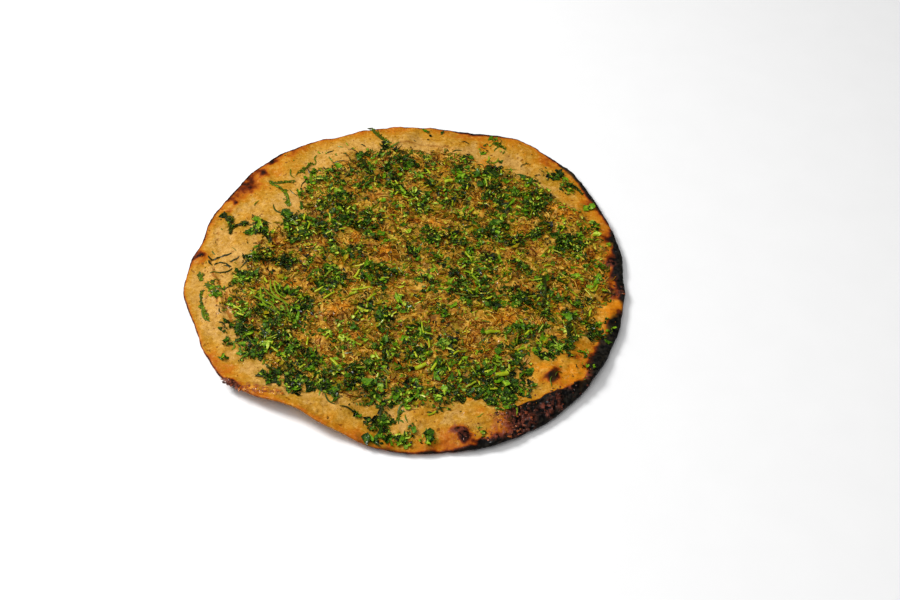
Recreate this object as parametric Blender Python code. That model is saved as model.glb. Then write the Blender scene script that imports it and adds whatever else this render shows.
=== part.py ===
"""A tandoori paratha: a round flatbread with chopped coriander baked onto its top.

Metres, +Z up. The origin is on the surface that the bread rests on, under the middle of its outline.
+X is the bread's right and +Y its far side, as it lies in front of a diner.
"""

import math
import random

import bmesh
import bpy
import numpy as np

MM = 0.001

# The dough disc, its outline's radii at every ten degrees round from +X
RIM_RADII = MM * np.array(
    [124, 125, 125, 127.5, 131, 133, 132.5, 127.5, 125.5, 124, 124.5, 124]
    + [125.5, 125.5, 125, 122, 122.5, 121, 124, 126, 123.5, 124, 125, 122]
    + [118, 119.5, 122.5, 126, 126.5, 129, 129, 128.5, 127.5, 126, 124.5, 124]
)
RIM_LIFTS = MM * np.array(
    [2.0, 2.5, 3.0, 2.0, 2.5, 1.0, 2.5, 2.0, 1.5, 3.0, 2.0, 1.0]
    + [1.5, 2.0, 1.5, 2.5, 2.0, 1.0, 1.5, 2.5, 2.0, 1.5, 2.0, 6.5]
    + [9.0, 7.5, 3.0, 1.5, 1.0, 1.5, 0.6, 0.4, 0.4, 1.0, 2.5, 2.5]
)
MIDDLE_THICKNESS = 4.6 * MM
RIM_THICKNESS = 2.3 * MM
RIM_ROUNDING = 0.9 * MM
RESTING_SHARE = 0.70
THINNING_SHARE = 0.80
RIM_RAGGEDNESS = 0.3 * MM
RAGGED_LENGTH = 0.16
RAGGED_SEED = 3

# The relief of the top
PILLOW_HEIGHT = 0.75 * MM
PILLOW_LENGTH = 42 * MM
PILLOW_SEED = 21
PILLOW_FADE = 0.1
CRUMPLE_HEIGHT = 0.42 * MM
CRUMPLE_LENGTH = 13 * MM
CRUMPLE_SEED = 22
TOPPING_SWELL = 0.7 * MM
TOPPING_RADIUS = 100 * MM
TOPPING_RUNOUT = 12 * MM
BLISTER_FALL = 1.6

# Blisters that the oven raised: x, y, radius, height
BLISTERS = MM * np.array(
    [
        (77, -75, 6, 2.1),
        (28, -114, 7, 1.9),
        (-12, 11, 6, 2.3),
        (-37, -34, 11, 2.6),
        (54, -38, 10, 1.8),
        (-103, 51, 5, 1.4),
        (-88, 78, 6, 1.5),
        (-117, 8, 5, 1.3),
        (15, 37, 9, 1.5),
        (93, 46, 9, 1.9),
        (45, 88, 7, 1.5),
        (6, -108, 8, 1.7),
        (-28, -98, 7, 1.4),
        (36, -104, 9, 1.5),
        (-68, 61, 9, 1.1),
        (57, 98, 8, 1.6),
        (-2, 112, 9, 1.2),
        (112, -29, 6, 1.6),
        (-91, -84, 5, 1.8),
    ]
)

# Folds where one layer of dough laps the next: the points that the lap's edge runs through
LEFT_FOLD = MM * np.array([(-112, 3), (-105, -14), (-101, -30), (-99, -46)])
FAR_FOLD = MM * np.array([(-20, 103), (0, 107.5), (15, 106.5), (30, 103)])
NEAR_FOLD = MM * np.array([(10, -105), (20, -103.5), (31, -97.5)])
UPPER_LEFT_FOLD = MM * np.array([(-113, 32), (-111.5, 20), (-108, 9)])
FOLDS = (
    (LEFT_FOLD, 1.7 * MM),
    (FAR_FOLD, 1.5 * MM),
    (NEAR_FOLD, 1.3 * MM),
    (UPPER_LEFT_FOLD, 1.0 * MM),
)
FOLD_RUNOUT = 5.5 * MM

# The crest near the burnt edge, beyond which the bread bends down
BURNT_CREST = MM * np.array([(50, -105), (57, -100.5), (66, -95.5), (86, -86), (102, -77)])
CREST_HEIGHT = 4.6 * MM
CREST_INNER_RUN = 17 * MM
CREST_OUTER_RUN = 11 * MM
CREST_LIFT = 0.8
CREST_LIFT_SHARES = (0.6, 0.8)

# The mesh of the dough
GRID_CELLS = 100
DOUGH_TRIANGLES = 4600

# The coriander that stands proud of the dough
PIECE_COUNT = 136
PIECE_REACH = 104 * MM
PIECE_STRAY = 1.2 * MM
LEAVES_AND_STEM = 3
LEAF_RADII = (3.4 * MM, 5.2 * MM)
LEAF_RISE = 1.0 * MM
LEAF_SINK = 1.6 * MM
LEAF_POINTS = 9
LEAF_LOBES = 3
LEAF_WAIST = 0.72
LEAF_LOBE_DEPTH = 0.34
LEAF_NARROWING = 0.75
LEAF_TILT = 0.25 * MM
STEM_LENGTHS = (7 * MM, 14 * MM)
STEM_RADII = (0.75 * MM, 1.1 * MM)
STEM_RISE = 0.35 * MM
STEM_ROOT = 1.7
STEM_SIDES = 6
STEM_TAPER = 0.85
STEM_BEND = 0.22
TOPPING_SEED = 11
GOLDEN_ANGLE = math.radians(137.508)

# Patches of bare dough within the topping's circle: x, y, radius
BARE_PATCHES = MM * np.array(
    [
        (-88, 62, 26),
        (-100, -5, 20),
        (0, -112, 26),
        (36, -100, 18),
        (84, -72, 18),
        (-70, -82, 18),
    ]
)


def clear_scene():
    for obj in list(bpy.data.objects):
        bpy.data.objects.remove(obj, do_unlink=True)


def around(values, bearing):
    """Reads evenly spaced values round the rim as one smooth closed curve."""
    count = len(values)
    place = np.asarray(bearing) / (2 * math.pi) * count
    low = np.floor(place).astype(int)
    t = place - low
    before, here, there, after = (values[(low + step) % count] for step in (-1, 0, 1, 2))
    slope = (there - before) / 2
    next_slope = (after - here) / 2
    rise = there - here
    return here + t * (slope + t * (3 * rise - 2 * slope - next_slope + t * (slope + next_slope - 2 * rise)))


def smooth_step(value):
    t = np.clip(value, 0, 1)
    return t * t * (3 - 2 * t)


def ripple(x, y, length, seed):
    """An uneven rolling surface of height about -1 to 1: plane waves in drawn directions."""
    draw = random.Random(seed)
    total = 0
    waves = 9
    for _ in range(waves):
        heading = draw.uniform(0, 2 * math.pi)
        wave_number = 2 * math.pi / (length * draw.uniform(0.7, 1.5))
        phase = draw.uniform(0, 2 * math.pi)
        total = total + np.sin(wave_number * (x * math.cos(heading) + y * math.sin(heading)) + phase)
    return total / math.sqrt(waves)


def offset_from(path, x, y):
    """Distance from a path of points, and which side of it: positive towards the rim."""
    nearest = np.full(np.shape(x), np.inf)
    side = np.ones(np.shape(x))
    for start, end in zip(path[:-1], path[1:]):
        run = end - start
        share = np.clip(((x - start[0]) * run[0] + (y - start[1]) * run[1]) / (run @ run), 0, 1)
        foot_x = start[0] + share * run[0]
        foot_y = start[1] + share * run[1]
        distance = np.hypot(x - foot_x, y - foot_y)
        closer = distance < nearest
        nearest = np.where(closer, distance, nearest)
        outward = (x - foot_x) * foot_x + (y - foot_y) * foot_y
        side = np.where(closer, np.sign(outward), side)
    return nearest, side


def rim_radius(bearing):
    """The outline: the smooth radii with the small raggedness of a hand-stretched edge."""
    ragged = ripple(np.cos(bearing), np.sin(bearing), RAGGED_LENGTH, RAGGED_SEED)
    return around(RIM_RADII, bearing) + RIM_RAGGEDNESS * ragged


def crest(x, y):
    """The sharp crest beside the burnt edge."""
    distance, side = offset_from(BURNT_CREST, x, y)
    run = np.where(side > 0, CREST_OUTER_RUN, CREST_INNER_RUN)
    return CREST_HEIGHT * np.exp(-distance / run)


def underside(x, y):
    """Height of the bread's lower face: flat where it rests, rising where the rim lifts."""
    bearing = np.arctan2(y, x)
    share = np.hypot(x, y) / rim_radius(bearing)
    curl = np.clip((share - RESTING_SHARE) / (1 - RESTING_SHARE), 0, 1) ** 2
    start, end = CREST_LIFT_SHARES
    bent = smooth_step((share - start) / (end - start))
    return around(RIM_LIFTS, bearing) * curl + CREST_LIFT * crest(x, y) * bent


def thickness(share):
    """The bread is thickest in the middle and thins towards the rim."""
    thin = smooth_step((share - THINNING_SHARE) / (1 - THINNING_SHARE))
    return MIDDLE_THICKNESS + (RIM_THICKNESS - MIDDLE_THICKNESS) * thin


def top_face(x, y):
    """Height of the bread's upper face."""
    bearing = np.arctan2(y, x)
    share = np.hypot(x, y) / rim_radius(bearing)
    height = underside(x, y) + thickness(share)
    height = height + (1 - CREST_LIFT) * crest(x, y)
    pillows = ripple(x, y, PILLOW_LENGTH, PILLOW_SEED) * smooth_step((1 - share) / PILLOW_FADE)
    height = height + PILLOW_HEIGHT * pillows
    height = height + CRUMPLE_HEIGHT * ripple(x, y, CRUMPLE_LENGTH, CRUMPLE_SEED)
    height = height + TOPPING_SWELL * smooth_step((TOPPING_RADIUS - np.hypot(x, y)) / TOPPING_RUNOUT)
    for centre_x, centre_y, radius, rise in BLISTERS:
        span = ((x - centre_x) ** 2 + (y - centre_y) ** 2) / radius**2
        height = height + rise * np.exp(-BLISTER_FALL * span)
    for path, lip in FOLDS:
        distance, side = offset_from(path, x, y)
        height = height + np.where(side > 0, lip * np.exp(-distance / FOLD_RUNOUT), 0)
    return height


def grid_to_disc(u, v):
    """A square's points spread over the outline, without a pole in the middle."""
    disc_x = u * np.sqrt(1 - v * v / 2)
    disc_y = v * np.sqrt(1 - u * u / 2)
    return np.hypot(disc_x, disc_y), np.arctan2(disc_y, disc_x)


def centre_of_outline():
    """The middle of the outline's box, which becomes the origin."""
    bearing = np.linspace(0, 2 * math.pi, 720, endpoint=False)
    radius = rim_radius(bearing)
    x = radius * np.cos(bearing)
    y = radius * np.sin(bearing)
    return (x.min() + x.max()) / 2, (y.min() + y.max()) / 2


def placed_mesh(name, bm, x, y, z):
    """Moves every point of a simple shape to its place on the bread, which keeps its faces pointing out."""
    bmesh.ops.recalc_face_normals(bm, faces=bm.faces)
    for vert, place in zip(bm.verts, zip(x, y, z)):
        vert.co = place
    mesh = bpy.data.meshes.new(name)
    bm.to_mesh(mesh)
    bm.free()
    return mesh


def dough_mesh():
    """A square sheet is given a second face and a side, then every point goes to its place."""
    bm = bmesh.new()
    bmesh.ops.create_grid(bm, x_segments=GRID_CELLS, y_segments=GRID_CELLS, size=1)
    raised = bmesh.ops.extrude_face_region(bm, geom=list(bm.faces), use_keep_orig=True)["geom"]
    for vert in (item for item in raised if isinstance(item, bmesh.types.BMVert)):
        vert.co.z = 1
    sides = [edge for edge in bm.edges if edge.verts[0].co.z != edge.verts[1].co.z]
    bmesh.ops.subdivide_edges(bm, edges=sides, cuts=1)
    start = np.array([vert.co for vert in bm.verts])
    level = start[:, 2]
    share, bearing = grid_to_disc(start[:, 0], start[:, 1])
    outline = rim_radius(bearing) - RIM_ROUNDING * np.where(level == 0.5, 0, 1)
    x = share * outline * np.cos(bearing)
    y = share * outline * np.sin(bearing)
    z = underside(x, y) * (1 - level) + top_face(x, y) * level
    return placed_mesh("tandoori_paratha", bm, x, y, z)


def add_object(name, mesh, collection):
    obj = bpy.data.objects.new(name, mesh)
    collection.objects.link(obj)
    return obj


def make_dough():
    """The dough disc, with its triangles kept where the relief is."""
    mesh = dough_mesh()
    dough = add_object("tandoori_paratha", mesh, bpy.context.scene.collection)
    lighten = dough.modifiers.new("Lighten", "DECIMATE")
    mesh.calc_loop_triangles()
    lighten.ratio = DOUGH_TRIANGLES / len(mesh.loop_triangles)
    apply_modifiers(dough)
    return dough


def apply_modifiers(obj):
    graph = bpy.context.evaluated_depsgraph_get()
    finished = bpy.data.meshes.new_from_object(obj.evaluated_get(graph))
    obj.modifiers.clear()
    obj.data = finished


def leaf_mesh(spot, heading, radius, draw):
    """A scrap of coriander leaf: three lobes, lying on the dough and rooted in it."""
    bm = bmesh.new()
    bmesh.ops.create_circle(bm, cap_ends=True, cap_tris=True, segments=LEAF_POINTS, radius=1)
    raised = bmesh.ops.extrude_face_region(bm, geom=list(bm.faces), use_keep_orig=True)["geom"]
    for vert in (item for item in raised if isinstance(item, bmesh.types.BMVert)):
        vert.co.z = 1
    start = np.array([vert.co for vert in bm.verts])
    angle = np.arctan2(start[:, 1], start[:, 0])
    lobes = LEAF_WAIST + LEAF_LOBE_DEPTH * np.cos(LEAF_LOBES * angle)
    reach = radius * lobes * np.hypot(start[:, 0], start[:, 1])
    x = spot[0] + reach * np.cos(angle + heading)
    y = spot[1] + reach * np.sin(angle + heading) * LEAF_NARROWING
    tilt = draw.uniform(-LEAF_TILT, LEAF_TILT)
    upper = top_face(x, y) + LEAF_RISE + tilt * np.cos(2 * angle)
    lower = top_face(x, y) - LEAF_SINK
    return placed_mesh("leaf", bm, x, y, np.where(start[:, 2] > 0.5, upper, lower))


def stem_mesh(spot, heading, length, radius, draw):
    """A chopped stem: a bent rod that lies half in the dough."""
    bm = bmesh.new()
    bmesh.ops.create_cone(
        bm,
        cap_ends=True,
        cap_tris=True,
        segments=STEM_SIDES,
        radius1=1,
        radius2=STEM_TAPER,
        depth=1,
    )
    lengthwise = [edge for edge in bm.edges if abs(edge.verts[0].co.z - edge.verts[1].co.z) > 0.5]
    bmesh.ops.subdivide_edges(bm, edges=lengthwise, cuts=1)
    start = np.array([vert.co for vert in bm.verts])
    along = start[:, 2] * length
    bend = draw.uniform(-STEM_BEND, STEM_BEND) * length * (4 * start[:, 2] ** 2)
    across = bend + start[:, 0] * radius
    x = spot[0] + along * math.cos(heading) - across * math.sin(heading)
    y = spot[1] + along * math.sin(heading) + across * math.cos(heading)
    line_x = spot[0] + along * math.cos(heading) - bend * math.sin(heading)
    line_y = spot[1] + along * math.sin(heading) + bend * math.cos(heading)
    rounding = np.where(start[:, 1] > 0, start[:, 1], start[:, 1] * STEM_ROOT)
    z = top_face(line_x, line_y) + STEM_RISE + rounding * radius
    return placed_mesh("stem", bm, x, y, z)


def is_bare(x, y):
    near = (BARE_PATCHES[:, 0] - x) ** 2 + (BARE_PATCHES[:, 1] - y) ** 2
    return bool((near < BARE_PATCHES[:, 2] ** 2).any())


def scattered_spots(draw):
    """Spots spread evenly over the topping in a sunflower's pattern, leaving out the bare patches."""
    spots = []
    for step in range(PIECE_COUNT):
        distance = PIECE_REACH * math.sqrt((step + 0.5) / PIECE_COUNT)
        bearing = step * GOLDEN_ANGLE
        x = distance * math.cos(bearing) + draw.uniform(-PIECE_STRAY, PIECE_STRAY)
        y = distance * math.sin(bearing) + draw.uniform(-PIECE_STRAY, PIECE_STRAY)
        if not is_bare(x, y):
            spots.append((x, y))
    return spots


def make_coriander(collection):
    """Two scraps of leaf to each stem, every one clear of its neighbours."""
    draw = random.Random(TOPPING_SEED)
    for number, spot in enumerate(scattered_spots(draw)):
        heading = draw.uniform(0, 2 * math.pi)
        if number % LEAVES_AND_STEM:
            mesh = leaf_mesh(spot, heading, draw.uniform(*LEAF_RADII), draw)
        else:
            mesh = stem_mesh(spot, heading, draw.uniform(*STEM_LENGTHS), draw.uniform(*STEM_RADII), draw)
        add_object(f"coriander_{number}", mesh, collection)


def fuse(body, collection):
    """Joins everything in the collection to the body as one solid, then removes the loose pieces."""
    union = body.modifiers.new("Fuse", "BOOLEAN")
    union.operation = "UNION"
    union.operand_type = "COLLECTION"
    union.collection = collection
    union.solver = "MANIFOLD"
    apply_modifiers(body)
    for obj in list(collection.objects):
        bpy.data.objects.remove(obj, do_unlink=True)
    bpy.data.collections.remove(collection)


def keep_main_shell(obj):
    """Drops the small shells that fusing leaves: sealed hollows, which so become solid, and loose scraps."""
    bm = bmesh.new()
    bm.from_mesh(obj.data)
    unseen = set(bm.faces)
    shells = []
    while unseen:
        shell = set()
        ahead = [next(iter(unseen))]
        while ahead:
            face = ahead.pop()
            if face not in shell:
                shell.add(face)
                ahead.extend(beside for edge in face.edges for beside in edge.link_faces)
        unseen -= shell
        shells.append(shell)
    shells.sort(key=len)
    for shell in shells[:-1]:
        bmesh.ops.delete(bm, geom=list(shell), context="FACES")
    bm.to_mesh(obj.data)
    bm.free()


def baked_dough_material():
    material = bpy.data.materials.new("baked_dough")
    material.use_nodes = True
    shader = material.node_tree.nodes["Principled BSDF"]
    shader.inputs["Base Color"].default_value = (0.56, 0.32, 0.11, 1)
    shader.inputs["Roughness"].default_value = 0.55
    shader.inputs["Metallic"].default_value = 0
    return material


def move_to_origin(obj):
    """Puts the middle of the outline's box over the origin."""
    centre_x, centre_y = centre_of_outline()
    for vert in obj.data.vertices:
        vert.co.x -= centre_x
        vert.co.y -= centre_y


def main():
    clear_scene()
    paratha = make_dough()
    toppings = bpy.data.collections.new("toppings")
    bpy.context.scene.collection.children.link(toppings)
    make_coriander(toppings)
    fuse(paratha, toppings)
    keep_main_shell(paratha)
    move_to_origin(paratha)
    paratha.data.materials.clear()
    paratha.data.materials.append(baked_dough_material())
    paratha.data.shade_smooth()
    paratha.data.set_sharp_from_angle(angle=math.radians(40))


main()
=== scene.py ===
"""The looks of a tandoori paratha: dough, char, browned shreds and chopped coriander."""

import math
import random
from types import SimpleNamespace

import bmesh
import bpy
import numpy as np
from mathutils import Euler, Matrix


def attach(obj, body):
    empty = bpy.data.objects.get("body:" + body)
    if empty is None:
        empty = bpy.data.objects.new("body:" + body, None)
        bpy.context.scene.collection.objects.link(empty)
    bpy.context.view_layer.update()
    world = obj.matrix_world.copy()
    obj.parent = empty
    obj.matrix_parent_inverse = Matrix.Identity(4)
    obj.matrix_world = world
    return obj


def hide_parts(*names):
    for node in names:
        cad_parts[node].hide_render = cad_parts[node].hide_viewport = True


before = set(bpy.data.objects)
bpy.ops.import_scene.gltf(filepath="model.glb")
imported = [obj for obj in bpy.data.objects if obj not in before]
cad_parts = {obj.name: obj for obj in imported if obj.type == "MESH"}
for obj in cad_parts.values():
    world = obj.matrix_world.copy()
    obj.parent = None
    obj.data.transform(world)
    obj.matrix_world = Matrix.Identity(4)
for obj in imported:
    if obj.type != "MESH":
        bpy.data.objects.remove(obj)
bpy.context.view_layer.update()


# The bread.
# A hand-slapped disc of layered wheat dough, baked on the wall of a clay oven: thin, blistered,
# golden at its rim and burnt black along the side that hung lowest.
MM = 0.001
# The outline's radii and the rim's lift, at every ten degrees round from +X
RIM_RADII = MM * np.array([
    124, 125, 125, 127.5, 131, 133, 132.5, 127.5, 125.5, 124, 124.5, 124, 125.5, 125.5, 125, 122, 122.5,
    121, 124, 126, 123.5, 124, 125, 122, 118, 119.5, 122.5, 126, 126.5, 129, 129, 128.5, 127.5, 126, 124.5,
    124,
])
RIM_LIFTS = MM * np.array([
    2, 2.5, 3, 2, 2.5, 1, 2.5, 2, 1.5, 3, 2, 1, 1.5, 2, 1.5, 2.5, 2, 1, 1.5, 2.5, 2, 1.5, 2, 6.5, 9, 7.5,
    3, 1.5, 1, 1.5, 0.6, 0.4, 0.4, 1, 2.5, 2.5,
])
MIDDLE_THICKNESS = 4.6 * MM
RIM_THICKNESS = 2.3 * MM
RIM_ROUNDING = 0.9 * MM
RESTING_SHARE = 0.70
THINNING_SHARE = 0.80
RIM_RAGGEDNESS = 0.3 * MM
PILLOW_HEIGHT = 0.75 * MM
PILLOW_LENGTH = 42 * MM
PILLOW_FADE = 0.1
CRUMPLE_HEIGHT = 0.42 * MM
CRUMPLE_LENGTH = 13 * MM
TOPPING_SWELL = 0.7 * MM
TOPPING_RADIUS = 100 * MM
TOPPING_RUNOUT = 12 * MM
BLISTER_FALL = 1.6
BLISTERS = MM * np.array([
    (77, -75, 6, 2.1), (28, -114, 7, 1.9), (-12, 11, 6, 2.3), (-37, -34, 11, 2.6), (54, -38, 10, 1.8),
    (-103, 51, 5, 1.4), (-88, 78, 6, 1.5), (-117, 8, 5, 1.3), (15, 37, 9, 1.5), (93, 46, 9, 1.9),
    (45, 88, 7, 1.5), (6, -108, 8, 1.7), (-28, -98, 7, 1.4), (36, -104, 9, 1.5), (-68, 61, 9, 1.1),
    (57, 98, 8, 1.6), (-2, 112, 9, 1.2), (112, -29, 6, 1.6), (-91, -84, 5, 1.8),
])
# Laps of dough, each a path in millimetres and the height of its lip
FOLDS = (
    ([(-112, 3), (-105, -14), (-101, -30), (-99, -46)], 1.7),
    ([(-20, 103), (0, 107.5), (15, 106.5), (30, 103)], 1.5),
    ([(10, -105), (20, -103.5), (31, -97.5)], 1.3),
    ([(-113, 32), (-111.5, 20), (-108, 9)], 1.0),
)
FOLD_RUNOUT = 5.5 * MM
FOLD_STEP = 2.2 * MM
BURNT_CREST = [(50, -105), (57, -100.5), (66, -95.5), (86, -86), (102, -77)]
BURNT_FROM_CREST = -0.8 * MM
CREST_HEIGHT = 4.6 * MM
CREST_INNER_RUN = 17 * MM
CREST_OUTER_RUN = 11 * MM
CREST_LIFT = 0.8
CREST_LIFT_SHARES = (0.6, 0.8)


def spots(by_radius):
    """Rows of x, y and radius, from the places of each radius in millimetres."""
    return MM * np.array([(*place, radius) for radius, places in by_radius.items() for place in places])


# What lies on the dough, seen from above: the topping's edge, its brown patches and its green clumps
TOPPING_EDGE = MM * np.array([
    117, 117, 116, 113, 110, 108, 106, 105, 103, 104, 104, 105, 100, 95, 86, 82, 86, 91, 97, 101, 104, 105,
    103, 102, 102, 99, 100, 101, 102, 100, 103, 98, 97, 108, 114, 115,
])
BROWN_PATCHES = spots({
    3: [(-59, -46), (-84, -42), (90, -65), (45, -82)],
    3.5: [(-3, -70), (-68, -70), (5, -77), (5, 40)],
    4: [
        (-60, -4), (-76, -10), (-3, -13), (60, -35), (72, -40), (82, -20), (72, -71), (28, -38), (66, 30),
        (42, 57), (-60, 15), (20, 98), (28, 40),
    ],
    4.5: [
        (-57, -15), (-31, -12), (-50, -47), (-28, -53), (-16, -51), (13, -26), (84, -50), (66, -80),
        (62, 14), (40, 64), (-58, 47), (-69, 12),
    ],
    5: [
        (-65, -12), (-45, -55), (-22, -60), (-5, -45), (-5, -80), (17, -40), (3, -22), (45, -60),
        (68, -12), (95, -12), (85, 8), (104, 12), (-8, 45), (-52, 20), (-31, 23), (-34, 66), (-76, 20),
        (-90, 18),
    ],
    5.5: [(-7, -20), (-40, -62), (70, 35), (95, 3)],
    6: [(-30, -97), (46, 90), (58, 98), (-20, 60), (-12, 11), (-45, 92)],
    6.5: [(40, -42), (15, 37)],
    7: [(110, -28), (86, -72), (74, 17)],
    8: [(54, -38), (36, -53)],
    9: [(-37, -34), (92, 47)],
})
DARK_CLUMPS = spots({
    2.5: [
        (105, 52), (-103, 31), (-97, 33), (-25, -104), (-18, -107), (18, -29), (21, -34), (88, -65),
        (-6, -107), (-28, -99),
    ],
    3: [
        (-27, 88), (-29, 69), (-19, 96), (-37, 79), (94, 76), (111, 35), (5, 50), (-107, 40), (45, 27),
        (66, 25), (77, 31), (82, 36), (10, 27), (36, 14), (-85, -66), (-9, -113), (86, -8), (101, -26),
        (88, -58), (62, -46), (62, -52), (18, -70), (65, -87), (56, -97), (67, -84), (34, -90), (82, -64),
        (66, -80), (60, -83), (13, -118), (-34, -95),
    ],
    3.5: [
        (-14, 103), (5, 76), (13, 72), (-31, 94), (61, 79), (56, 55), (84, 63), (27, 63), (-50, 43),
        (-46, 22), (-82, 25), (-88, 6), (63, 21), (100, 24), (-90, -52), (-88, -59), (-70, -60),
        (-72, -79), (-25, -34), (-8, -6), (28, -5), (76, -10), (77, -18), (70, -20), (90, -35), (3, -64),
        (63, -76), (15, -90), (18, -99), (40, -90), (75, -67), (-8, -119), (0, -118), (-14, -113),
        (-12, -106),
    ],
    4: [
        (3, 87), (14, 86), (34, 68), (36, 92), (-24, 82), (-22, 73), (-52, 75), (-46, 77), (-40, 69),
        (47, 61), (50, 66), (58, 50), (54, 62), (70, 47), (81, 57), (66, 63), (97, 71), (18, 65), (22, 60),
        (3, 61), (10, 58), (24, 53), (31, 58), (10, 47), (-47, 54), (-22, 29), (-21, 23), (-44, 30),
        (-38, 12), (-72, 40), (-59, 24), (-61, 41), (-57, 36), (-85, 30), (-66, 3), (48, 32), (51, 28),
        (73, 28), (86, 17), (99, 12), (40, 21), (29, 20), (35, 7), (67, -1), (2, 9), (18, 8), (-87, -8),
        (-70, -16), (-58, -22), (-78, -34), (-94, -44), (-86, -46), (-74, -47), (-66, -38), (-60, -41),
        (-80, -54), (-56, -63), (-60, -67), (-47, -71), (-79, -64), (-67, -74), (-65, -84), (-52, -81),
        (-49, -86), (-43, -79), (-39, -77), (-37, -88), (-31, -85), (-12, -84), (-19, -73), (-14, -72),
        (-9, -67), (-7, -62), (-12, -57), (-13, -46), (-15, -10), (-14, -1), (-3, -88), (-15, -118),
        (9, -7), (13, -14), (44, -10), (27, -20), (33, -25), (44, -20), (48, -27), (57, -20), (76, -27),
        (86, -22), (95, -25), (90, -45), (90, -52), (103, -45), (70, -46), (74, -62), (80, -58), (84, -62),
        (2, -55), (12, -50), (8, -62), (1, -76), (33, -72), (39, -76), (49, -70), (52, -74), (60, -70),
        (37, -84), (52, -80), (27, -94), (18, -95), (46, -95), (50, -100), (45, -91), (52, -94), (61, -89),
    ],
    4.5: [
        (-45, 14), (-79, 6), (-72, 4), (62, 2), (-94, -6), (-64, -20), (-91, -39), (-60, -78), (-25, -76),
        (-10, -100), (37, -4), (68, -26), (78, -37), (5, -48), (24, -88),
    ],
    5: [
        (-12, 84), (30, 82), (33, 74), (-10, 76), (-9, 68), (-5, 63), (42, 79), (50, 82), (52, 71),
        (72, 56), (80, 45), (76, 64), (90, 79), (-42, 54), (-35, 57), (-50, 50), (-38, 45), (-28, 35),
        (-34, 37), (-24, 42), (-19, 39), (-29, 14), (-68, 35), (-53, 30), (31, 42), (53, 35), (24, 25),
        (16, 22), (48, 6), (3, 14), (-84, -37), (-73, -53), (-66, -52), (-58, -86), (-22, -83), (-17, -88),
        (-22, -5), (30, -12), (35, -17), (63, -22), (22, -56), (27, -66), (18, -76), (45, -85), (4, -86),
    ],
    5.5: [(-60, -31), (-73, -40), (-43, -86), (57, -87)],
    6: [(-2, 90), (76, 50), (-64, 27), (56, 25), (-12, -37)],
    6.5: [(-62, -60), (-52, -68)],
    7: [(-8, 88)],
    8: [(92, 22)],
    9.5: [(-44, -9)],
})
FRESH_CLUMPS = spots({
    1.8: [(41, -114), (-96, -57)],
    2: [(21, 119), (7, -110), (-97, -66), (94, -83), (112, -36), (108, -8)],
    2.5: [
        (12, 92), (57, 106), (92, 34), (-28, -21), (3, -113), (35, -93), (79, -66), (69, -83), (47, -118),
        (102, -74), (108, -52),
    ],
    3: [
        (-51, 98), (-58, 80), (-44, 68), (-26, 84), (-48, 36), (-35, 50), (-87, 8), (-88, 29), (24, 92),
        (46, 70), (60, 75), (82, 84), (96, 66), (12, 121), (24, 71), (0, 60), (52, 44), (44, 33),
        (105, 33), (103, 26), (110, 7), (67, 40), (40, 30), (37, 42), (40, -9), (-96, -14), (-50, -18),
        (-82, -26), (-88, -60), (-90, -45), (-64, -68), (-22, -35), (-30, -80), (-20, -88), (-12, -78),
        (-4, -59), (9, -72), (15, -73), (56, -46), (66, -48), (52, -60), (72, -55), (47, -96), (99, -37),
        (106, -40), (20, -88), (28, -80), (-1, -122), (-3, -117), (57, -91), (43, -88), (-92, -12),
        (-93, -36), (95, -69), (62, -80), (98, -79), (-11, -119), (113, -48), (104, 2),
    ],
    3.5: [
        (-90, 37), (-60, 70), (-24, 46), (-55, 5), (46, 102), (98, 8), (47, 1), (33, 5), (-106, -22),
        (-46, -22), (-85, -50), (-60, -55), (-22, -29), (-25, -74), (-36, -72), (-3, -25), (43, -72),
        (50, -78), (46, -48), (84, -57), (55, -84), (44, -88), (-95, -30),
    ],
    4: [
        (-62, 62), (-45, 61), (-30, 80), (48, 78), (72, 62), (80, 52), (53, 111), (4, 51), (37, -2),
        (-104, -18), (-62, -36), (-92, -32), (-75, -58), (-50, -63), (-28, -43), (-41, -53), (-14, -95),
        (-4, -93), (5, -91), (0, -31), (96, -62), (80, -62), (12, -120),
    ],
    4.5: [(75, 72), (-33, -59)],
    5: [(-37, 45), (-20, 0), (56, 40), (-78, -30), (-70, -34), (3, -97)],
    5.5: [(-20, -68)],
    6: [(54, 79)],
})
# Swellings and ridges of dough that nothing covers
BARE_SPOTS = spots({
    2.5: [(84, -50)],
    3: [(-4, -20), (-60, -12), (-43, -57), (17, -38), (70, 34), (-18, 60), (-74, 20), (96, 4)],
    3.5: [(44, 90), (40, -52), (75, 16)],
    3.6: [(-12, 11), (15, 37)],
    4: [(-30, -96), (-44, 92), (58, 98)],
    4.5: [(54, -38)],
    5: [(-37, -34), (93, 48), (88, -70)],
})
# Places inside the topping where the dough fried to bright orange gold
GOLD_SPOTS = spots({
    4: [(-30, 24), (112, -8), (16, 36), (36, -92)],
    5: [(88, -18), (83, -30), (99, 3), (46, 90), (-37, -34)],
    6: [(-12, 12), (55, -38), (94, 46), (70, -74)],
    7: [(114, -27), (88, -74)],
})


def around(values, bearing):
    """Reads evenly spaced values round the rim as one smooth closed curve."""
    count = len(values)
    place = np.asarray(bearing) / (2 * math.pi) * count
    low = np.floor(place).astype(int)
    t = place - low
    before, here, there, after = (values[(low + step) % count] for step in (-1, 0, 1, 2))
    slope = (there - before) / 2
    next_slope = (after - here) / 2
    rise = there - here
    return here + t * (slope + t * (3 * rise - 2 * slope - next_slope + t * (slope + next_slope - 2 * rise)))


def smooth_step(value):
    t = np.clip(value, 0, 1)
    return t * t * (3 - 2 * t)


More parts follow.
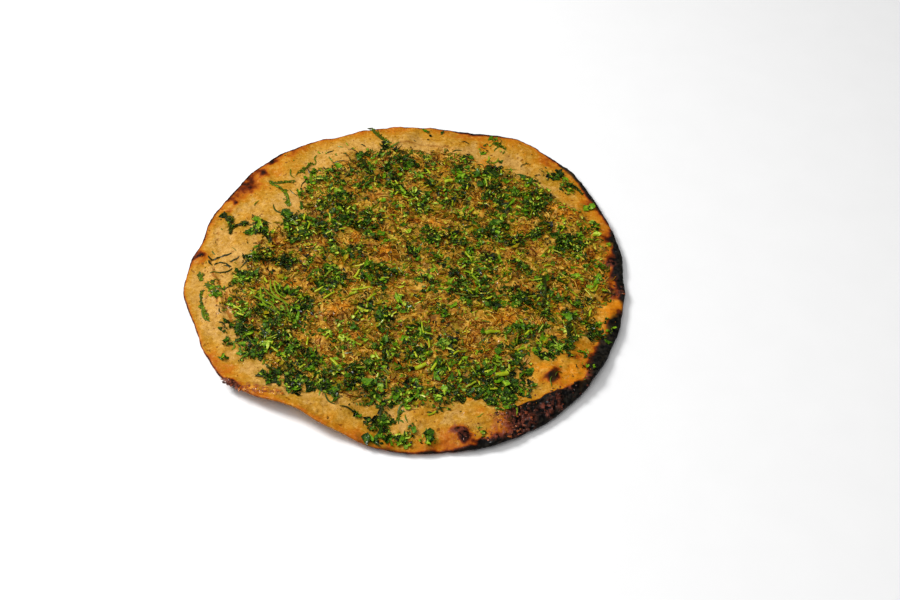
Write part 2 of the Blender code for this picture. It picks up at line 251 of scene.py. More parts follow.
def ripple(x, y, length, seed):
    """The CAD solid's uneven rolling surface, of height about -1 to 1."""
    draw = random.Random(seed)
    total = 0
    waves = 9
    for _ in range(waves):
        heading = draw.uniform(0, 2 * math.pi)
        wave_number = 2 * math.pi / (length * draw.uniform(0.7, 1.5))
        phase = draw.uniform(0, 2 * math.pi)
        total += np.sin(wave_number * (x * math.cos(heading) + y * math.sin(heading)) + phase)
    return total / math.sqrt(waves)


def lumps(x, y, length, seed):
    """Finer uneven lumps of height about -1 to 1 and a length in millimetres, on a lattice of slopes."""
    corners = 256
    slopes = np.random.default_rng(seed).uniform(-1, 1, (corners, corners, 2))
    u = np.asarray(x) / (length * MM) + corners / 2
    v = np.asarray(y) / (length * MM) + corners / 2
    column = np.floor(u).astype(int)
    row = np.floor(v).astype(int)
    total = 0
    for step_u, step_v in ((0, 0), (0, 1), (1, 0), (1, 1)):
        slope = slopes[(column + step_u) % corners, (row + step_v) % corners]
        from_u = u - column - step_u
        from_v = v - row - step_v
        weight = smooth_step(1 - np.abs(from_u)) * smooth_step(1 - np.abs(from_v))
        total += weight * (slope[..., 0] * from_u + slope[..., 1] * from_v)
    return 2 * total


def offset_from(path, x, y):
    """Distance from a path of points, and which side of it: positive towards the rim."""
    nearest = np.full(np.shape(x), np.inf)
    side = np.ones(np.shape(x))
    points = MM * np.array(path)
    for start, end in zip(points[:-1], points[1:]):
        run = end - start
        share = np.clip(((x - start[0]) * run[0] + (y - start[1]) * run[1]) / (run @ run), 0, 1)
        foot_x = start[0] + share * run[0]
        foot_y = start[1] + share * run[1]
        distance = np.hypot(x - foot_x, y - foot_y)
        closer = distance < nearest
        nearest = np.where(closer, distance, nearest)
        side = np.where(closer, np.sign((x - foot_x) * foot_x + (y - foot_y) * foot_y), side)
    return nearest, side


def rim_radius(bearing):
    ragged = ripple(np.cos(bearing), np.sin(bearing), length=0.16, seed=3)
    return around(RIM_RADII, bearing) + RIM_RAGGEDNESS * ragged


def crest(x, y):
    """The sharp crest beside the burnt edge."""
    distance, side = offset_from(BURNT_CREST, x, y)
    return CREST_HEIGHT * np.exp(-distance / np.where(side > 0, CREST_OUTER_RUN, CREST_INNER_RUN))


def underside(x, y):
    """Height of the lower face: flat where the bread rests, rising where its rim lifts."""
    bearing = np.arctan2(y, x)
    share = np.hypot(x, y) / rim_radius(bearing)
    curl = np.clip((share - RESTING_SHARE) / (1 - RESTING_SHARE), 0, 1) ** 2
    start, end = CREST_LIFT_SHARES
    bent = smooth_step((share - start) / (end - start))
    return around(RIM_LIFTS, bearing) * curl + CREST_LIFT * crest(x, y) * bent


def top_face(x, y):
    """Height of the upper face, as the CAD solid has it."""
    share = np.hypot(x, y) / rim_radius(np.arctan2(y, x))
    thin = smooth_step((share - THINNING_SHARE) / (1 - THINNING_SHARE))
    height = underside(x, y) + MIDDLE_THICKNESS + (RIM_THICKNESS - MIDDLE_THICKNESS) * thin
    height += (1 - CREST_LIFT) * crest(x, y)
    pillows = ripple(x, y, PILLOW_LENGTH, seed=21) * smooth_step((1 - share) / PILLOW_FADE)
    height += PILLOW_HEIGHT * pillows
    height += CRUMPLE_HEIGHT * ripple(x, y, CRUMPLE_LENGTH, seed=22)
    height += TOPPING_SWELL * smooth_step((TOPPING_RADIUS - np.hypot(x, y)) / TOPPING_RUNOUT)
    for centre_x, centre_y, radius, rise in BLISTERS:
        span = ((x - centre_x) ** 2 + (y - centre_y) ** 2) / radius**2
        height += rise * np.exp(-BLISTER_FALL * span)
    for path, lip in FOLDS:
        distance, side = offset_from(path, x, y)
        lapped = smooth_step(0.5 + side * distance / FOLD_STEP)
        height += lip * MM * np.exp(-distance / FOLD_RUNOUT) * lapped
    return height


def near(places, x, y):
    """How deep a place lies in the nearest of some uneven spots: 1 in its middle, 0 outside."""
    depth = np.zeros(np.shape(x))
    drift_x = x + 3.2 * MM * lumps(x, y, 8, seed=7) + 1.6 * MM * lumps(x, y, 3, seed=8)
    drift_y = y + 3.2 * MM * lumps(x, y, 8, seed=9) + 1.6 * MM * lumps(x, y, 3, seed=10)
    for centre_x, centre_y, radius in places:
        span = np.hypot(drift_x - centre_x, drift_y - centre_y) / radius
        depth = np.maximum(depth, np.clip(1.3 - span, 0, 1))
    return depth


def near_green(x, y):
    return np.maximum(near(DARK_CLUMPS, x, y), near(FRESH_CLUMPS, x, y))


def topping_cover(x, y):
    """1 where the dough carries topping, falling to 0 along the topping's uneven edge."""
    ragged = 6 * MM * lumps(x, y, 13, seed=5) + 5 * MM * lumps(x, y, 5, seed=6)
    edge = around(TOPPING_EDGE, np.arctan2(y, x))
    return smooth_step((edge - np.hypot(x, y) + ragged) / (7 * MM))


# How burnt and how golden the rim is at every ten degrees, and the single toasted spots, each with
# its x, y, radius and depth
CHAR_WIDTHS = MM * np.array([
    5.4, 3.8, 1.8, 2.6, 2.4, 1.2, 1, 2.2, 1, 0.8, 0.7, 0.9, 0.8, 1.3, 1, 0.9, 0.9, 0.8, 0.6, 0.5, 0.4, 0.3,
    0.2, -0.4, -0.6, -0.6, -0.4, 0.2, 0.6, 2, 4, 5, 5, 7, 5.4, 3,
])
GOLD_WIDTHS = MM * np.array([
    15, 13, 13, 14, 14, 11, 11, 11, 9, 8, 8, 7, 6, 8, 11, 14, 8, 4, 2.6, 2.4, 2.6, 5, 9, 8, 6, 6, 7, 8, 9,
    9, 10, 12, 14, 16, 16, 15,
])
TOASTED_SPOTS = [
    (77.5, -79, 4, 0.85), (80, -72, 5, 0.2), (71, -78, 5, 0.2), (26, -113, 3.4, 0.5), (30, -115, 3, 0.55),
    (34, -116, 2.4, 0.4), (40, -120, 3.6, 0.9), (48, -119, 3.6, 0.8), (-95, -83, 2.4, 1.1),
    (-92, -85, 2.2, 1.1), (-89, -87.5, 2, 1), (-84, -88.5, 2, 0.12), (-79, -89, 4, 0.1),
    (-73, -91, 4, 0.12), (-67, -90, 4, 0.1), (-106, 45, 2.4, 0.4), (-102.5, 51, 1.7, 0.42),
    (-117.5, 8.5, 3.2, 0.7), (-117.5, 2.5, 3.5, 0.22), (-88, 79, 3, 0.36), (-84, 88, 2.6, 0.3),
    (-98, 58, 7, 0.14), (-95, 70, 5, 0.16), (-94, 41, 3, 0.14), (-69, 59, 2.5, 0.12), (-74, 95, 3, 0.24),
    (-85, 65, 1.6, 0.1), (-14, 14, 3, 0.2), (-9, 116, 4, 0.14), (90, -64, 2.4, 0.4), (94, -55, 5, 0.2),
    (-94, -72, 6, 0.16), (112, -14, 4.5, 0.42), (115, -42, 4, 0.9), (117, -37, 3, 0.7),
    (114, 18, 2.6, 0.5), (117, 26, 4, 0.26), (113, 3, 4, 0.24), (114, -5, 4, 0.24), (108, 55, 5, 0.2),
    (106, -24, 4, 0.1), (48, -108, 4, 0.3), (44, -103, 3, 0.18), (54, -38, 6, 0.12), (-22, -116, 5, 0.2),
    (-8, -124, 5, 0.2), (20, -120, 7, 0.14), (86, 92, 5, 0.16), (45, 107, 3, 0.24), (36, 110, 3, 0.2),
    (30, 114, 3, 0.22), (18, 114, 5, 0.12), (92, 55, 5, 0.14), (-88, 60, 7, 0.1), (-79, 66, 5, 0.08),
    (-96, 26, 2, 0.16), (-78, 27, 3, 0.16), (-113, -30, 1.4, 0.3), (-108, 55, 2.4, 0.2),
    (-100, 64, 4, 0.14), (100, -64, 3, 0.3), (-72, -80, 12, -0.12), (-104, -34, 10, -0.08),
    (0, 112, 12, -0.1), (-40, 106, 10, -0.06), (-92, 50, 9, -0.04), (84, -78, 11, 0.1), (62, -94, 8, 0.08),
    (40, -106, 7, 0.08), (-97, -68, 3.5, 0.1), (-91, -71.5, 3.5, 0.12), (100, 40, 8, 0.06),
    (-100, -60, 5, 0.1), (72, 100, 9, 0.04), (12, -106, 14, 0.1), (-26, -106, 11, 0.08), (38, -98, 9, 0.1),
    (-96, 78, 9, 0.1), (-86, -74, 12, -0.1), (-60, -92, 9, -0.06), (-78, 92, 12, 0.06), (-92, 66, 9, 0.05),
    (-104, -22, 13, 0.07), (-104, 28, 11, 0.05), (-78, 78, 15, 0.05), (118, -3, 3, 0.3), (-76, 84, 9, 0.1),
    (90, -64, 10, 0.08), (104, -30, 8, 0.08), (-70, -70, 6, -0.04), (39, -102, 3, 0.16),
    (44, -107, 2.5, 0.18), (109.5, -15, 2.4, 0.4), (118, 9, 3.5, 0.6), (113.5, 11.5, 2.5, 0.16),
    (115, -17, 3.5, 0.3), (88, -68, 3, 0.16), (70, -72, 4, 0.12),
]
# Orange places by the rim that the char leaves out
SPARED_SPOTS = MM * np.array([
    (115, -27, 8), (116, 30, 5), (115, 36, 4), (114, -6, 5),
])
BURNT_BEARINGS = (math.radians(-67), math.radians(-61), math.radians(-39), math.radians(-34))
# Where the burnt crust is blistered, reddish brown and glazed
CRUSTED_SPOTS = spots({
    3: [(118, -18), (86, -86), (96, -78)],
    4: [(72, -99), (-92, -85), (-84, -88), (-68, -92), (115, -5), (115, 6), (117, -14)],
    5: [(60, -103), (48, -114), (65, -106), (-76, -90), (79, -95)],
    6: [(58, -111), (112, -14), (28, -114)],
    7: [(52, -107)],
})


def toast(x, y):
    """How far the oven took the dough: 0 pale, 0.5 orange gold, 0.75 dark brown, 1 charred."""
    bearing = np.arctan2(y, x)
    inward = rim_radius(bearing) - np.hypot(x, y)
    uneven = 1 + 0.4 * lumps(x, y, 9, seed=31) + 0.3 * lumps(x, y, 3.5, seed=32)
    gold = 0.39 * np.exp(-((np.clip(inward, 0, None) / (around(GOLD_WIDTHS, bearing) * uneven)) ** 1.6))
    width = around(CHAR_WIDTHS, bearing) * (0.4 + 0.6 * uneven)
    soft = 0.75 * width.clip(0, None) + 0.9 * MM
    char = smooth_step((width - inward) / soft + 0.5) * (0.55 + width / (7 * MM)).clip(0, 1)
    distance, side = offset_from(BURNT_CREST, x, y)
    start, full, fade, end = BURNT_BEARINGS
    window = smooth_step((bearing - start) / (full - start)) * smooth_step((end - bearing) / (end - fade))
    beyond = side * distance - BURNT_FROM_CREST + 0.7 * MM * lumps(x, y, 5, seed=33)
    char = np.maximum(char, window * smooth_step(beyond / (1.2 * MM)))
    char = char * (1 - 0.85 * near(SPARED_SPOTS, x, y))
    baked = 0.07 * lumps(x, y, 26, seed=34) + 0.06 * lumps(x, y, 8, seed=35)
    for centre_x, centre_y, radius, depth in TOASTED_SPOTS:
        span = np.hypot(x - centre_x * MM, y - centre_y * MM) / (radius * MM * uneven)
        baked += depth * np.exp(-(span**2))
    glow = 0.2 * np.exp(-np.clip(BURNT_FROM_CREST - side * distance, 0, None) / (8 * MM)) * window
    total = np.maximum(gold, glow) + baked
    return np.clip(total + (1 - np.clip(total, 0, 1)) * char, 0, 1), char


def crumple(x, y):
    """The small folds and bubbles of the dough, about 0 in the creases to 1 on the ridges."""
    bent_x = x + 2.5 * MM * lumps(x, y, 12, seed=81)
    bent_y = y + 2.5 * MM * lumps(x, y, 12, seed=82)
    broad = 1 - 1.7 * np.abs(lumps(bent_x, bent_y, 9, seed=83))
    narrow = 1 - 1.7 * np.abs(lumps(bent_x * 1.3, bent_y, 4.4, seed=84))
    return np.clip(0.55 * broad + 0.45 * narrow, 0, 1)


# Stretches of bare dough that dried into small wrinkles
WRINKLED_SPOTS = spots({
    8: [(74, 17), (-108, 20)],
    9: [(102, -44), (-104, -40)],
    10: [(100, 25), (106, 52), (-90, -62), (30, -104), (-62, 74)],
    11: [(-84, 72), (-75, -80)],
    12: [(-45, 92), (-96, 44), (-14, 108), (6, -110), (86, -74)],
    13: [(93, 47), (30, 104), (-40, -100), (72, 92)],
    14: [(-100, -8)],
})
# Lines along which one lap of dough meets another, each with how deep it cuts
CREASES = (
    ([(-109.5, 0), (-109.5, -6), (-107.5, -9.5), (-105.5, -12.5), (-104, -17), (-104.5, -28)], 1),
    ([(-100.5, -20), (-99.5, -24.5), (-99, -29), (-98, -34), (-96, -41)], 1),
    ([(-111, 33), (-110.5, 24), (-108.5, 16), (-107, 10)], 0.66),
    ([(-103, 30), (-102, 22), (-100, 14)], 0.5),
    ([(-20, 103), (-10, 106.5), (0, 107.5), (15, 106.5), (30, 103)], 0.7),
    ([(2, 112), (14, 112.5), (28, 109), (38, 103)], 0.66),
    ([(-42, 97), (-30, 100), (-21, 99)], 0.6),
    ([(10, -105), (20, -103.5), (31, -97.5)], 0.66),
    ([(-12, -104), (-2, -103), (6, -100)], 0.6),
    ([(86, 60), (92, 52), (96, 42)], 0.7),
    ([(80, 40), (88, 46), (97, 50)], 0.66),
    ([(-92, -58), (-84, -62), (-78, -70)], 0.5),
)


def creased(x, y):
    """1 along the lines where a lap of dough meets the dough below it."""
    depth = np.zeros(np.shape(x))
    drift = 1.8 * MM * lumps(x, y, 7, seed=91)
    for path, strength in CREASES:
        distance = offset_from(path, x + drift, y)[0]
        depth = np.maximum(depth, strength * np.exp(-((distance / (1.1 * MM)) ** 2)))
    return depth


def surface(x, y):
    """The upper face with the small relief that the CAD solid leaves out."""
    topped = topping_cover(x, y)
    wrinkled = np.maximum(topped, near(WRINKLED_SPOTS, x, y))
    relief = 0.14 * lumps(x, y, 7, seed=41) + (0.04 + 0.16 * topped) * lumps(x, y, 3.4, seed=42)
    relief += (0.03 + 0.10 * topped) * lumps(x, y, 1.9, seed=43)
    relief += (0.15 + 0.85 * wrinkled) * (crumple(x, y) - 0.5) - 0.4 * creased(x, y)
    crust = 0.75 - np.abs(lumps(x, y, 4.2, seed=44)) * 1.5 + 0.5 * lumps(x, y, 2.0, seed=45)
    relief += (0.45 * toast(x, y)[1] + 0.5 * near(CRUSTED_SPOTS, x, y)) * crust
    return top_face(x, y) + relief * MM


def centre_of_outline():
    """The middle of the outline's box, which is the origin of the finished bread."""
    bearing = np.linspace(0, 2 * math.pi, 720, endpoint=False)
    x = rim_radius(bearing) * np.cos(bearing)
    y = rim_radius(bearing) * np.sin(bearing)
    return (x.min() + x.max()) / 2, (y.min() + y.max()) / 2


CENTRE_X, CENTRE_Y = centre_of_outline()


def shade(red, green, blue):
    """A colour as a picture shows it, 0 to 255, turned into the light that the shader works with."""
    return (*((value / 255) ** 2.2 for value in (red, green, blue)), 1)


class Finish:
    """A material being mixed, with the one call that adds any node to it."""

    def __init__(self, name):
        self.material = bpy.data.materials.new(name)
        self.material.use_nodes = True
        self.tree = self.material.node_tree
        self.shader = self.tree.nodes["Principled BSDF"]

    def node(self, kind, settings, sockets, output=0):
        made = self.tree.nodes.new(kind)
        for key, value in settings.items():
            if key == "stops":
                self.set_stops(made.color_ramp, value)
            else:
                setattr(made, key, value)
        for key, value in sockets.items():
            self.feed(made.inputs[key], value)
        return Wire(self, made.outputs[output])

    def feed(self, socket, value):
        if isinstance(value, Wire):
            self.tree.links.new(value.socket, socket)
        else:
            socket.default_value = value

    def set_stops(self, ramp, stops):
        while len(ramp.elements) < len(stops):
            ramp.elements.new(1)
        for element, (place, *colour) in zip(ramp.elements, stops):
            element.position = place
            element.color = shade(*colour)

    def painted(self, name):
        return self.node("ShaderNodeAttribute", {"attribute_name": name}, {}, "Fac")

    def noise(self, scale, detail=3, seed=0):
        place = self.node("ShaderNodeTexCoord", {}, {}, "Object")
        moved = self.node("ShaderNodeMapping", {}, {"Vector": place, "Location": (seed, seed, seed)})
        return self.node("ShaderNodeTexNoise", {}, {"Vector": moved, "Scale": scale, "Detail": detail})

    def mix(self, share, first, second):
        return self.node("ShaderNodeMix", {"data_type": "RGBA"}, {0: share, 6: first, 7: second}, 2)

    def layers(self, colour, *layers):
        """Lays colours over the first, one after another, each by its own share."""
        for share, tint in layers:
            colour = self.mix(share, colour, tint if isinstance(tint, Wire) else shade(*tint))
        return colour

    def ramp(self, value, stops):
        """Each stop is its place and the red, green and blue that a picture shows."""
        return self.node("ShaderNodeValToRGB", {"stops": stops}, {"Fac": value})

    def bump(self, height, distance, strength):
        sockets = {"Height": height, "Distance": distance, "Strength": strength}
        return self.node("ShaderNodeBump", {}, sockets)

    def wear(self, **sockets):
        """Sets the shader's own sockets, whose names are written with underscores."""
        for key, value in sockets.items():
            self.feed(self.shader.inputs[key.replace("_", " ")], value)
        return self.material


class Wire:
    """One output of a node. A sum or product of wires and numbers adds its Math node."""

    def __init__(self, finish, socket):
        self.finish = finish
        self.socket = socket

    def maths(self, operation, first, second):
        return self.finish.node("ShaderNodeMath", {"operation": operation}, {0: first, 1: second})

    def __add__(self, other):
        return self.maths("ADD", self, other)

    def __sub__(self, other):
        return self.maths("SUBTRACT", self, other)

    def __rsub__(self, other):
        return self.maths("SUBTRACT", other, self)

    def __mul__(self, other):
        return self.maths("MULTIPLY", self, other)

    __radd__ = __add__
    __rmul__ = __mul__

    def within(self, low, high):
        """0 at low, 1 at high and straight between, held at both ends."""
        sockets = {"Value": self, "From Min": low, "From Max": high}
        return self.finish.node("ShaderNodeMapRange", {"clamp": True}, sockets)


def paint(mesh, name, values):
    mesh.attributes.new(name, "FLOAT", "POINT").data.foreach_set("value", np.float32(values).ravel())


def finish_piece(name, mesh, material):
    """Makes the piece's object, in place on the bread, and hangs it on the root body."""
    mesh.materials.append(material)
    mesh.shade_smooth()
    mesh.set_sharp_from_angle(angle=math.radians(50))
    piece = bpy.data.objects.new(name, mesh)
    bpy.context.scene.collection.objects.link(piece)
    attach(piece, "root")
    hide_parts("tandoori_paratha")
    return piece


TOP_CELLS = 270
UNDER_CELLS = TOP_CELLS // 2
RIM_LEVELS = 3


def bread_sheets():
    """Two square grids, fine above and coarse below, joined round their borders by a rounded wall."""
    bm = bmesh.new()
    bmesh.ops.create_grid(bm, x_segments=TOP_CELLS, y_segments=TOP_CELLS, size=1)
    for vert in bm.verts:
        vert.co.z = 1
    upper = set(bm.verts)
    bmesh.ops.create_grid(bm, x_segments=UNDER_CELLS, y_segments=UNDER_CELLS, size=1)
    borders = [edge for edge in bm.edges if edge.is_boundary and edge.verts[0] not in upper]
    bmesh.ops.subdivide_edges(bm, edges=borders, cuts=1)
    bmesh.ops.reverse_faces(bm, faces=[face for face in bm.faces if face.verts[0] not in upper])
    bmesh.ops.bridge_loops(bm, edges=[edge for edge in bm.edges if edge.is_boundary])
    walls = [edge for edge in bm.edges if edge.verts[0].co.z != edge.verts[1].co.z]
    bmesh.ops.subdivide_edges(bm, edges=walls, cuts=RIM_LEVELS)
    bmesh.ops.recalc_face_normals(bm, faces=bm.faces)
    return bm


def make_bread_mesh():
    bm = bread_sheets()
    u, v, level = np.array([vert.co for vert in bm.verts]).T
    disc_x = u * np.sqrt(1 - v * v / 2)
    disc_y = v * np.sqrt(1 - u * u / 2)
    share = np.hypot(disc_x, disc_y)
    bearing = np.arctan2(disc_y, disc_x)
    edge_lumps = lumps(130 * MM * bearing, level * 2 * MM, 5, seed=51)
    edge_lumps += 0.6 * lumps(130 * MM * bearing, level * 2 * MM, 2.2, seed=52)
    rounding = RIM_ROUNDING * (1 - np.sqrt(1 - (2 * level - 1) ** 2))
    outline = rim_radius(bearing) - rounding + 0.28 * MM * edge_lumps
    x = share * outline * np.cos(bearing)
    y = share * outline * np.sin(bearing)
    dimples = 0.18 * MM * lumps(x, y, 9, seed=53) + 0.1 * MM * lumps(x, y, 4, seed=54)
    under = underside(x, y) + np.where(level == 0, np.abs(dimples), 0)
    z = under * (1 - level) + surface(x, y) * level
    for vert, place in zip(bm.verts, zip(x - CENTRE_X, y - CENTRE_Y, z)):
        vert.co = place
    mesh = bpy.data.meshes.new("bread")
    bm.to_mesh(mesh)
    bm.free()
    toasted, char = toast(x, y)
    contact = 0.16 + 0.2 * lumps(x, y, 22, seed=55)
    contact += 0.5 * smooth_step((lumps(x, y, 10, seed=56) - 0.25) / 0.4)
    cover = topping_cover(x, y)
    paint(mesh, "toasted", np.where(level < 0.3, np.maximum(contact, toasted * 0.9), toasted))
    paint(mesh, "charred", char)
    paint(mesh, "raised", crumple(x, y))
    paint(mesh, "crusted", near(CRUSTED_SPOTS, x, y))
    painted_above = {
        "oiled": cover,
        "gilded": near(GOLD_SPOTS, x, y),
        "patchy": near(BROWN_PATCHES, x, y),
        "wrinkled": np.maximum(near(WRINKLED_SPOTS, x, y) * 0.7, cover),
        "creased": creased(x, y),
        "greened": near_green(x, y),
        "soaked": near(DARK_CLUMPS * [1, 1, 1.9], x, y),
        # painted shade: marks the dough under the dark clumps, darkened there for the gaps between their
        # leaves
        "shaded": near(DARK_CLUMPS, x, y),
    }
    for name, values in painted_above.items():
        paint(mesh, name, values * (level > 0.5))
    return mesh


def dough_finish():
    """Baked dough: toasted colours, mottled and speckled, tanned and oiled under the topping, with painted
    highlights on its ridges and painted shade in its hollows and under the dark clumps.
    """
    dough = Finish("baked_dough")
    fine = dough.noise(900, 4)
    medium = dough.noise(300, 4, seed=1)
    broad = dough.noise(75, 3, seed=2)
    pores = dough.noise(1900, 2, seed=10)
    mottle = dough.noise(520, 3, seed=11)
    raised = dough.painted("raised")
    oiled = dough.painted("oiled")
    charred = dough.painted("charred")
    crusted = dough.painted("crusted")
    toasted = dough.painted("toasted") + (fine - 0.5) * 0.16 + (medium - 0.5) * 0.36 + (broad - 0.5) * 0.26
    uncharred = 1.0 - charred
    unburnt = 1.0 - toasted.within(0.3, 0.55)
    mixed = medium * 0.75 + fine * 0.25
    # Under the topping the crumple height moves the colour up each ramp: painted light on the ridges of the
    # crumpled dough and painted shade in its hollows.
    stained = dough.ramp(
        mixed + raised * 0.16,
        [(0.41, 42, 30, 4), (0.48, 98, 68, 8), (0.54, 146, 104, 12), (0.6, 186, 140, 28)]
        + [(0.72, 214, 176, 76)],
    )
    fried = dough.ramp(
        mixed + raised * 0.14,
        [(0.43, 76, 30, 5), (0.5, 146, 72, 12), (0.58, 192, 126, 26), (0.7, 218, 174, 76)],
    )
    topping = dough.layers(
        dough.mix(dough.painted("patchy") * 0.85, stained, fried),
        (dough.noise(210, 3, seed=12).within(0.52, 0.6) * 0.4, (158, 74, 10)),
        (dough.noise(160, 3, seed=9).within(0.48, 0.6) * 0.7, (112, 98, 8)),
        (dough.painted("greened") * 0.6, (72, 68, 6)),
        # Painted shade: near black green on the dough under the dark clumps, for the shade in the gaps
        # between their leaves.
        (dough.painted("shaded").within(0.1, 0.6) * medium.within(0.28, 0.55) * 0.85, (24, 26, 4)),
    )
    glazed = dough.noise(110, 3, seed=7).within(0.46, 0.62) * (1.0 - toasted.within(0.3, 0.5))
    # Painted shade: the hollows of the wrinkled dough are darkened to brown.
    grain = (1.0 - raised).within(0.35, 0.8) * dough.painted("wrinkled") * medium.within(0.3, 0.6)
    halo = dough.painted("soaked").within(0.0, 0.6) * medium.within(0.4, 0.56) * uncharred
    gilded = dough.painted("gilded").within(0.05, 0.5) * medium.within(0.36, 0.52) * uncharred
    bright_gold = dough.mix(broad.within(0.52, 0.64), shade(208, 124, 12), shade(220, 158, 52))
    # Painted shade: the hollows of the crumpled dough under the topping are darkened to brown.
    hollow_shade = (1.0 - raised).within(0.45, 0.85) * oiled * fine.within(0.4, 0.6)
    line = (dough.painted("creased") + (medium - 0.5) * 0.7).within(0.5, 0.8)
    blistered = dough.noise(480, 3, seed=4).within(0.44, 0.6)
    colour = dough.layers(
        dough.ramp(
            toasted,
            [(0.0, 198, 152, 80), (0.1, 188, 136, 46), (0.28, 184, 116, 16), (0.42, 176, 92, 12)]
            + [(0.58, 108, 44, 8), (0.72, 44, 20, 10), (0.86, 9, 8, 7)],
        ),
        (glazed * 0.45, (170, 122, 24)),
        # painted shade in the wrinkle hollows
        (grain * 0.5, (132, 88, 18)),
        (halo * 0.6, (142, 112, 14)),
        (oiled * uncharred * 0.85, topping),
        (gilded * 0.75, bright_gold),
        (hollow_shade * 0.5, (92, 52, 6)),
        (line * 0.8, (136, 72, 12)),
        (pores.within(0.5, 0.34) * unburnt * 0.5, (120, 74, 16)),
        (pores.within(0.54, 0.7) * unburnt * 0.16, (222, 176, 96)),
        (mottle.within(0.5, 0.32) * unburnt * 0.4, (150, 100, 24)),
        (mottle.within(0.54, 0.7) * unburnt * 0.35, (228, 180, 98)),
        (dough.noise(1100, 2, seed=3).within(0.63, 0.7) * unburnt * 0.6, (110, 56, 8)),
        (dough.noise(420, 1, seed=8).within(0.67, 0.72) * unburnt * 0.7, (104, 52, 8)),
        (blistered * crusted * 0.9, (122, 62, 46)),
        (blistered * charred * (1.0 - crusted) * 0.5, (44, 40, 32)),
    )
    height = fine * 0.35 + medium * 0.65 + (charred + crusted) * dough.noise(600, 5, seed=5) * 1.4
    glints = dough.noise(520, 3, seed=6).within(0.58, 0.66)
    return dough.wear(
        Base_Color=colour,
        Roughness=0.6 - oiled * 0.12 - crusted * 0.2 + (medium - 0.5) * 0.25,
        Coat_Weight=glints * (0.1 + oiled * 0.5 + charred * 0.3 + crusted),
        Coat_Roughness=0.14,
        Specular_IOR_Level=0.08,
        Normal=dough.bump(height, 0.6 * MM, 0.8),
    )


bread = finish_piece("bread", make_bread_mesh(), dough_finish())


# The browned shreds.
# Shredded filling and slivers of dough crust that fried on the surface: thin flat strips, straw to
# reddish brown, matted together and lying flat under and between the green.
SHRED_COUNT = 6600

# Every small thing is laid on a map of the bread's height, or on the pile at its place
MAP_REACH = 136 * MM
MAP_POINTS = 681
map_line = np.linspace(-MAP_REACH, MAP_REACH, MAP_POINTS)
HEIGHT_MAP = surface(*np.meshgrid(map_line, map_line, indexing="ij"))


def laid_height(x, y):
    """The bread's height read from the map."""
    column = np.clip((x + MAP_REACH) / (2 * MAP_REACH) * (MAP_POINTS - 1), 0, MAP_POINTS - 1.001)
    row = np.clip((y + MAP_REACH) / (2 * MAP_REACH) * (MAP_POINTS - 1), 0, MAP_POINTS - 1.001)
    i = column.astype(int)
    j = row.astype(int)
    s = column - i
    t = row - j
    left = HEIGHT_MAP[i, j] * (1 - t) + HEIGHT_MAP[i, j + 1] * t
    right = HEIGHT_MAP[i + 1, j] * (1 - t) + HEIGHT_MAP[i + 1, j + 1] * t
    return left * (1 - s) + right * s


def drawn_spots(draw, count, density):
    """Draws places on the bread, as many as asked, thickest where the density is highest."""
    x = np.empty(0)
    y = np.empty(0)
    while len(x) < count:
        try_x = draw.uniform(-MAP_REACH, MAP_REACH, 4 * count)
        try_y = draw.uniform(-MAP_REACH, MAP_REACH, 4 * count)
        kept = draw.uniform(0, 1, 4 * count) < density(try_x, try_y)
        x = np.append(x, try_x[kept])
        y = np.append(y, try_y[kept])
    return x[:count], y[:count]


def inside_rim(x, y, margin):
    return np.hypot(x, y) < rim_radius(np.arctan2(y, x)) - margin * MM


def shape_of(bm):
    """The points and triangles of a small shape."""
    bmesh.ops.triangulate(bm, faces=bm.faces)
    bmesh.ops.recalc_face_normals(bm, faces=bm.faces)
    points = np.array([vert.co for vert in bm.verts])
    triangles = np.array([[vert.index for vert in face.verts] for face in bm.faces])
    bm.free()
    return points, triangles


def joined_copies(name, triangles, x, y, z, tone):
    """One mesh of many copies: each row of x, y and z holds one copy's points."""
    copies, points = x.shape
    corners = (triangles[None] + points * np.arange(copies)[:, None, None]).ravel()
    mesh = bpy.data.meshes.new(name)
    mesh.vertices.add(copies * points)
    mesh.vertices.foreach_set("co", np.stack((x - CENTRE_X, y - CENTRE_Y, z), -1).ravel())
    mesh.loops.add(len(corners))
    mesh.loops.foreach_set("vertex_index", corners)
    mesh.polygons.add(len(corners) // 3)
    mesh.polygons.foreach_set("loop_start", np.arange(0, len(corners), 3))
    mesh.update(calc_edges=True)
    paint(mesh, "tone", np.broadcast_to(tone, x.shape))
    return mesh


def rod_shape(sides, segments):
    """A unit rod along Z, cut into short lengths so that it can bend."""
    bm = bmesh.new()
    bmesh.ops.create_cone(bm, cap_ends=True, segments=sides, radius1=1, radius2=1, depth=1)
    lengthwise = [edge for edge in bm.edges if abs(edge.verts[0].co.z - edge.verts[1].co.z) > 0.5]
    bmesh.ops.subdivide_edges(bm, edges=lengthwise, cuts=segments - 1)
    return shape_of(bm)


def drawn_sizes(draw, count, **limits):
    """Draws sizes for each rod between the limits given. Widths, heights and rises are millimetres."""
    units = {"width": MM, "height": MM, "rise": MM}
    return {key: units.get(key, 1) * draw.uniform(*ends, count) for key, ends in limits.items()}


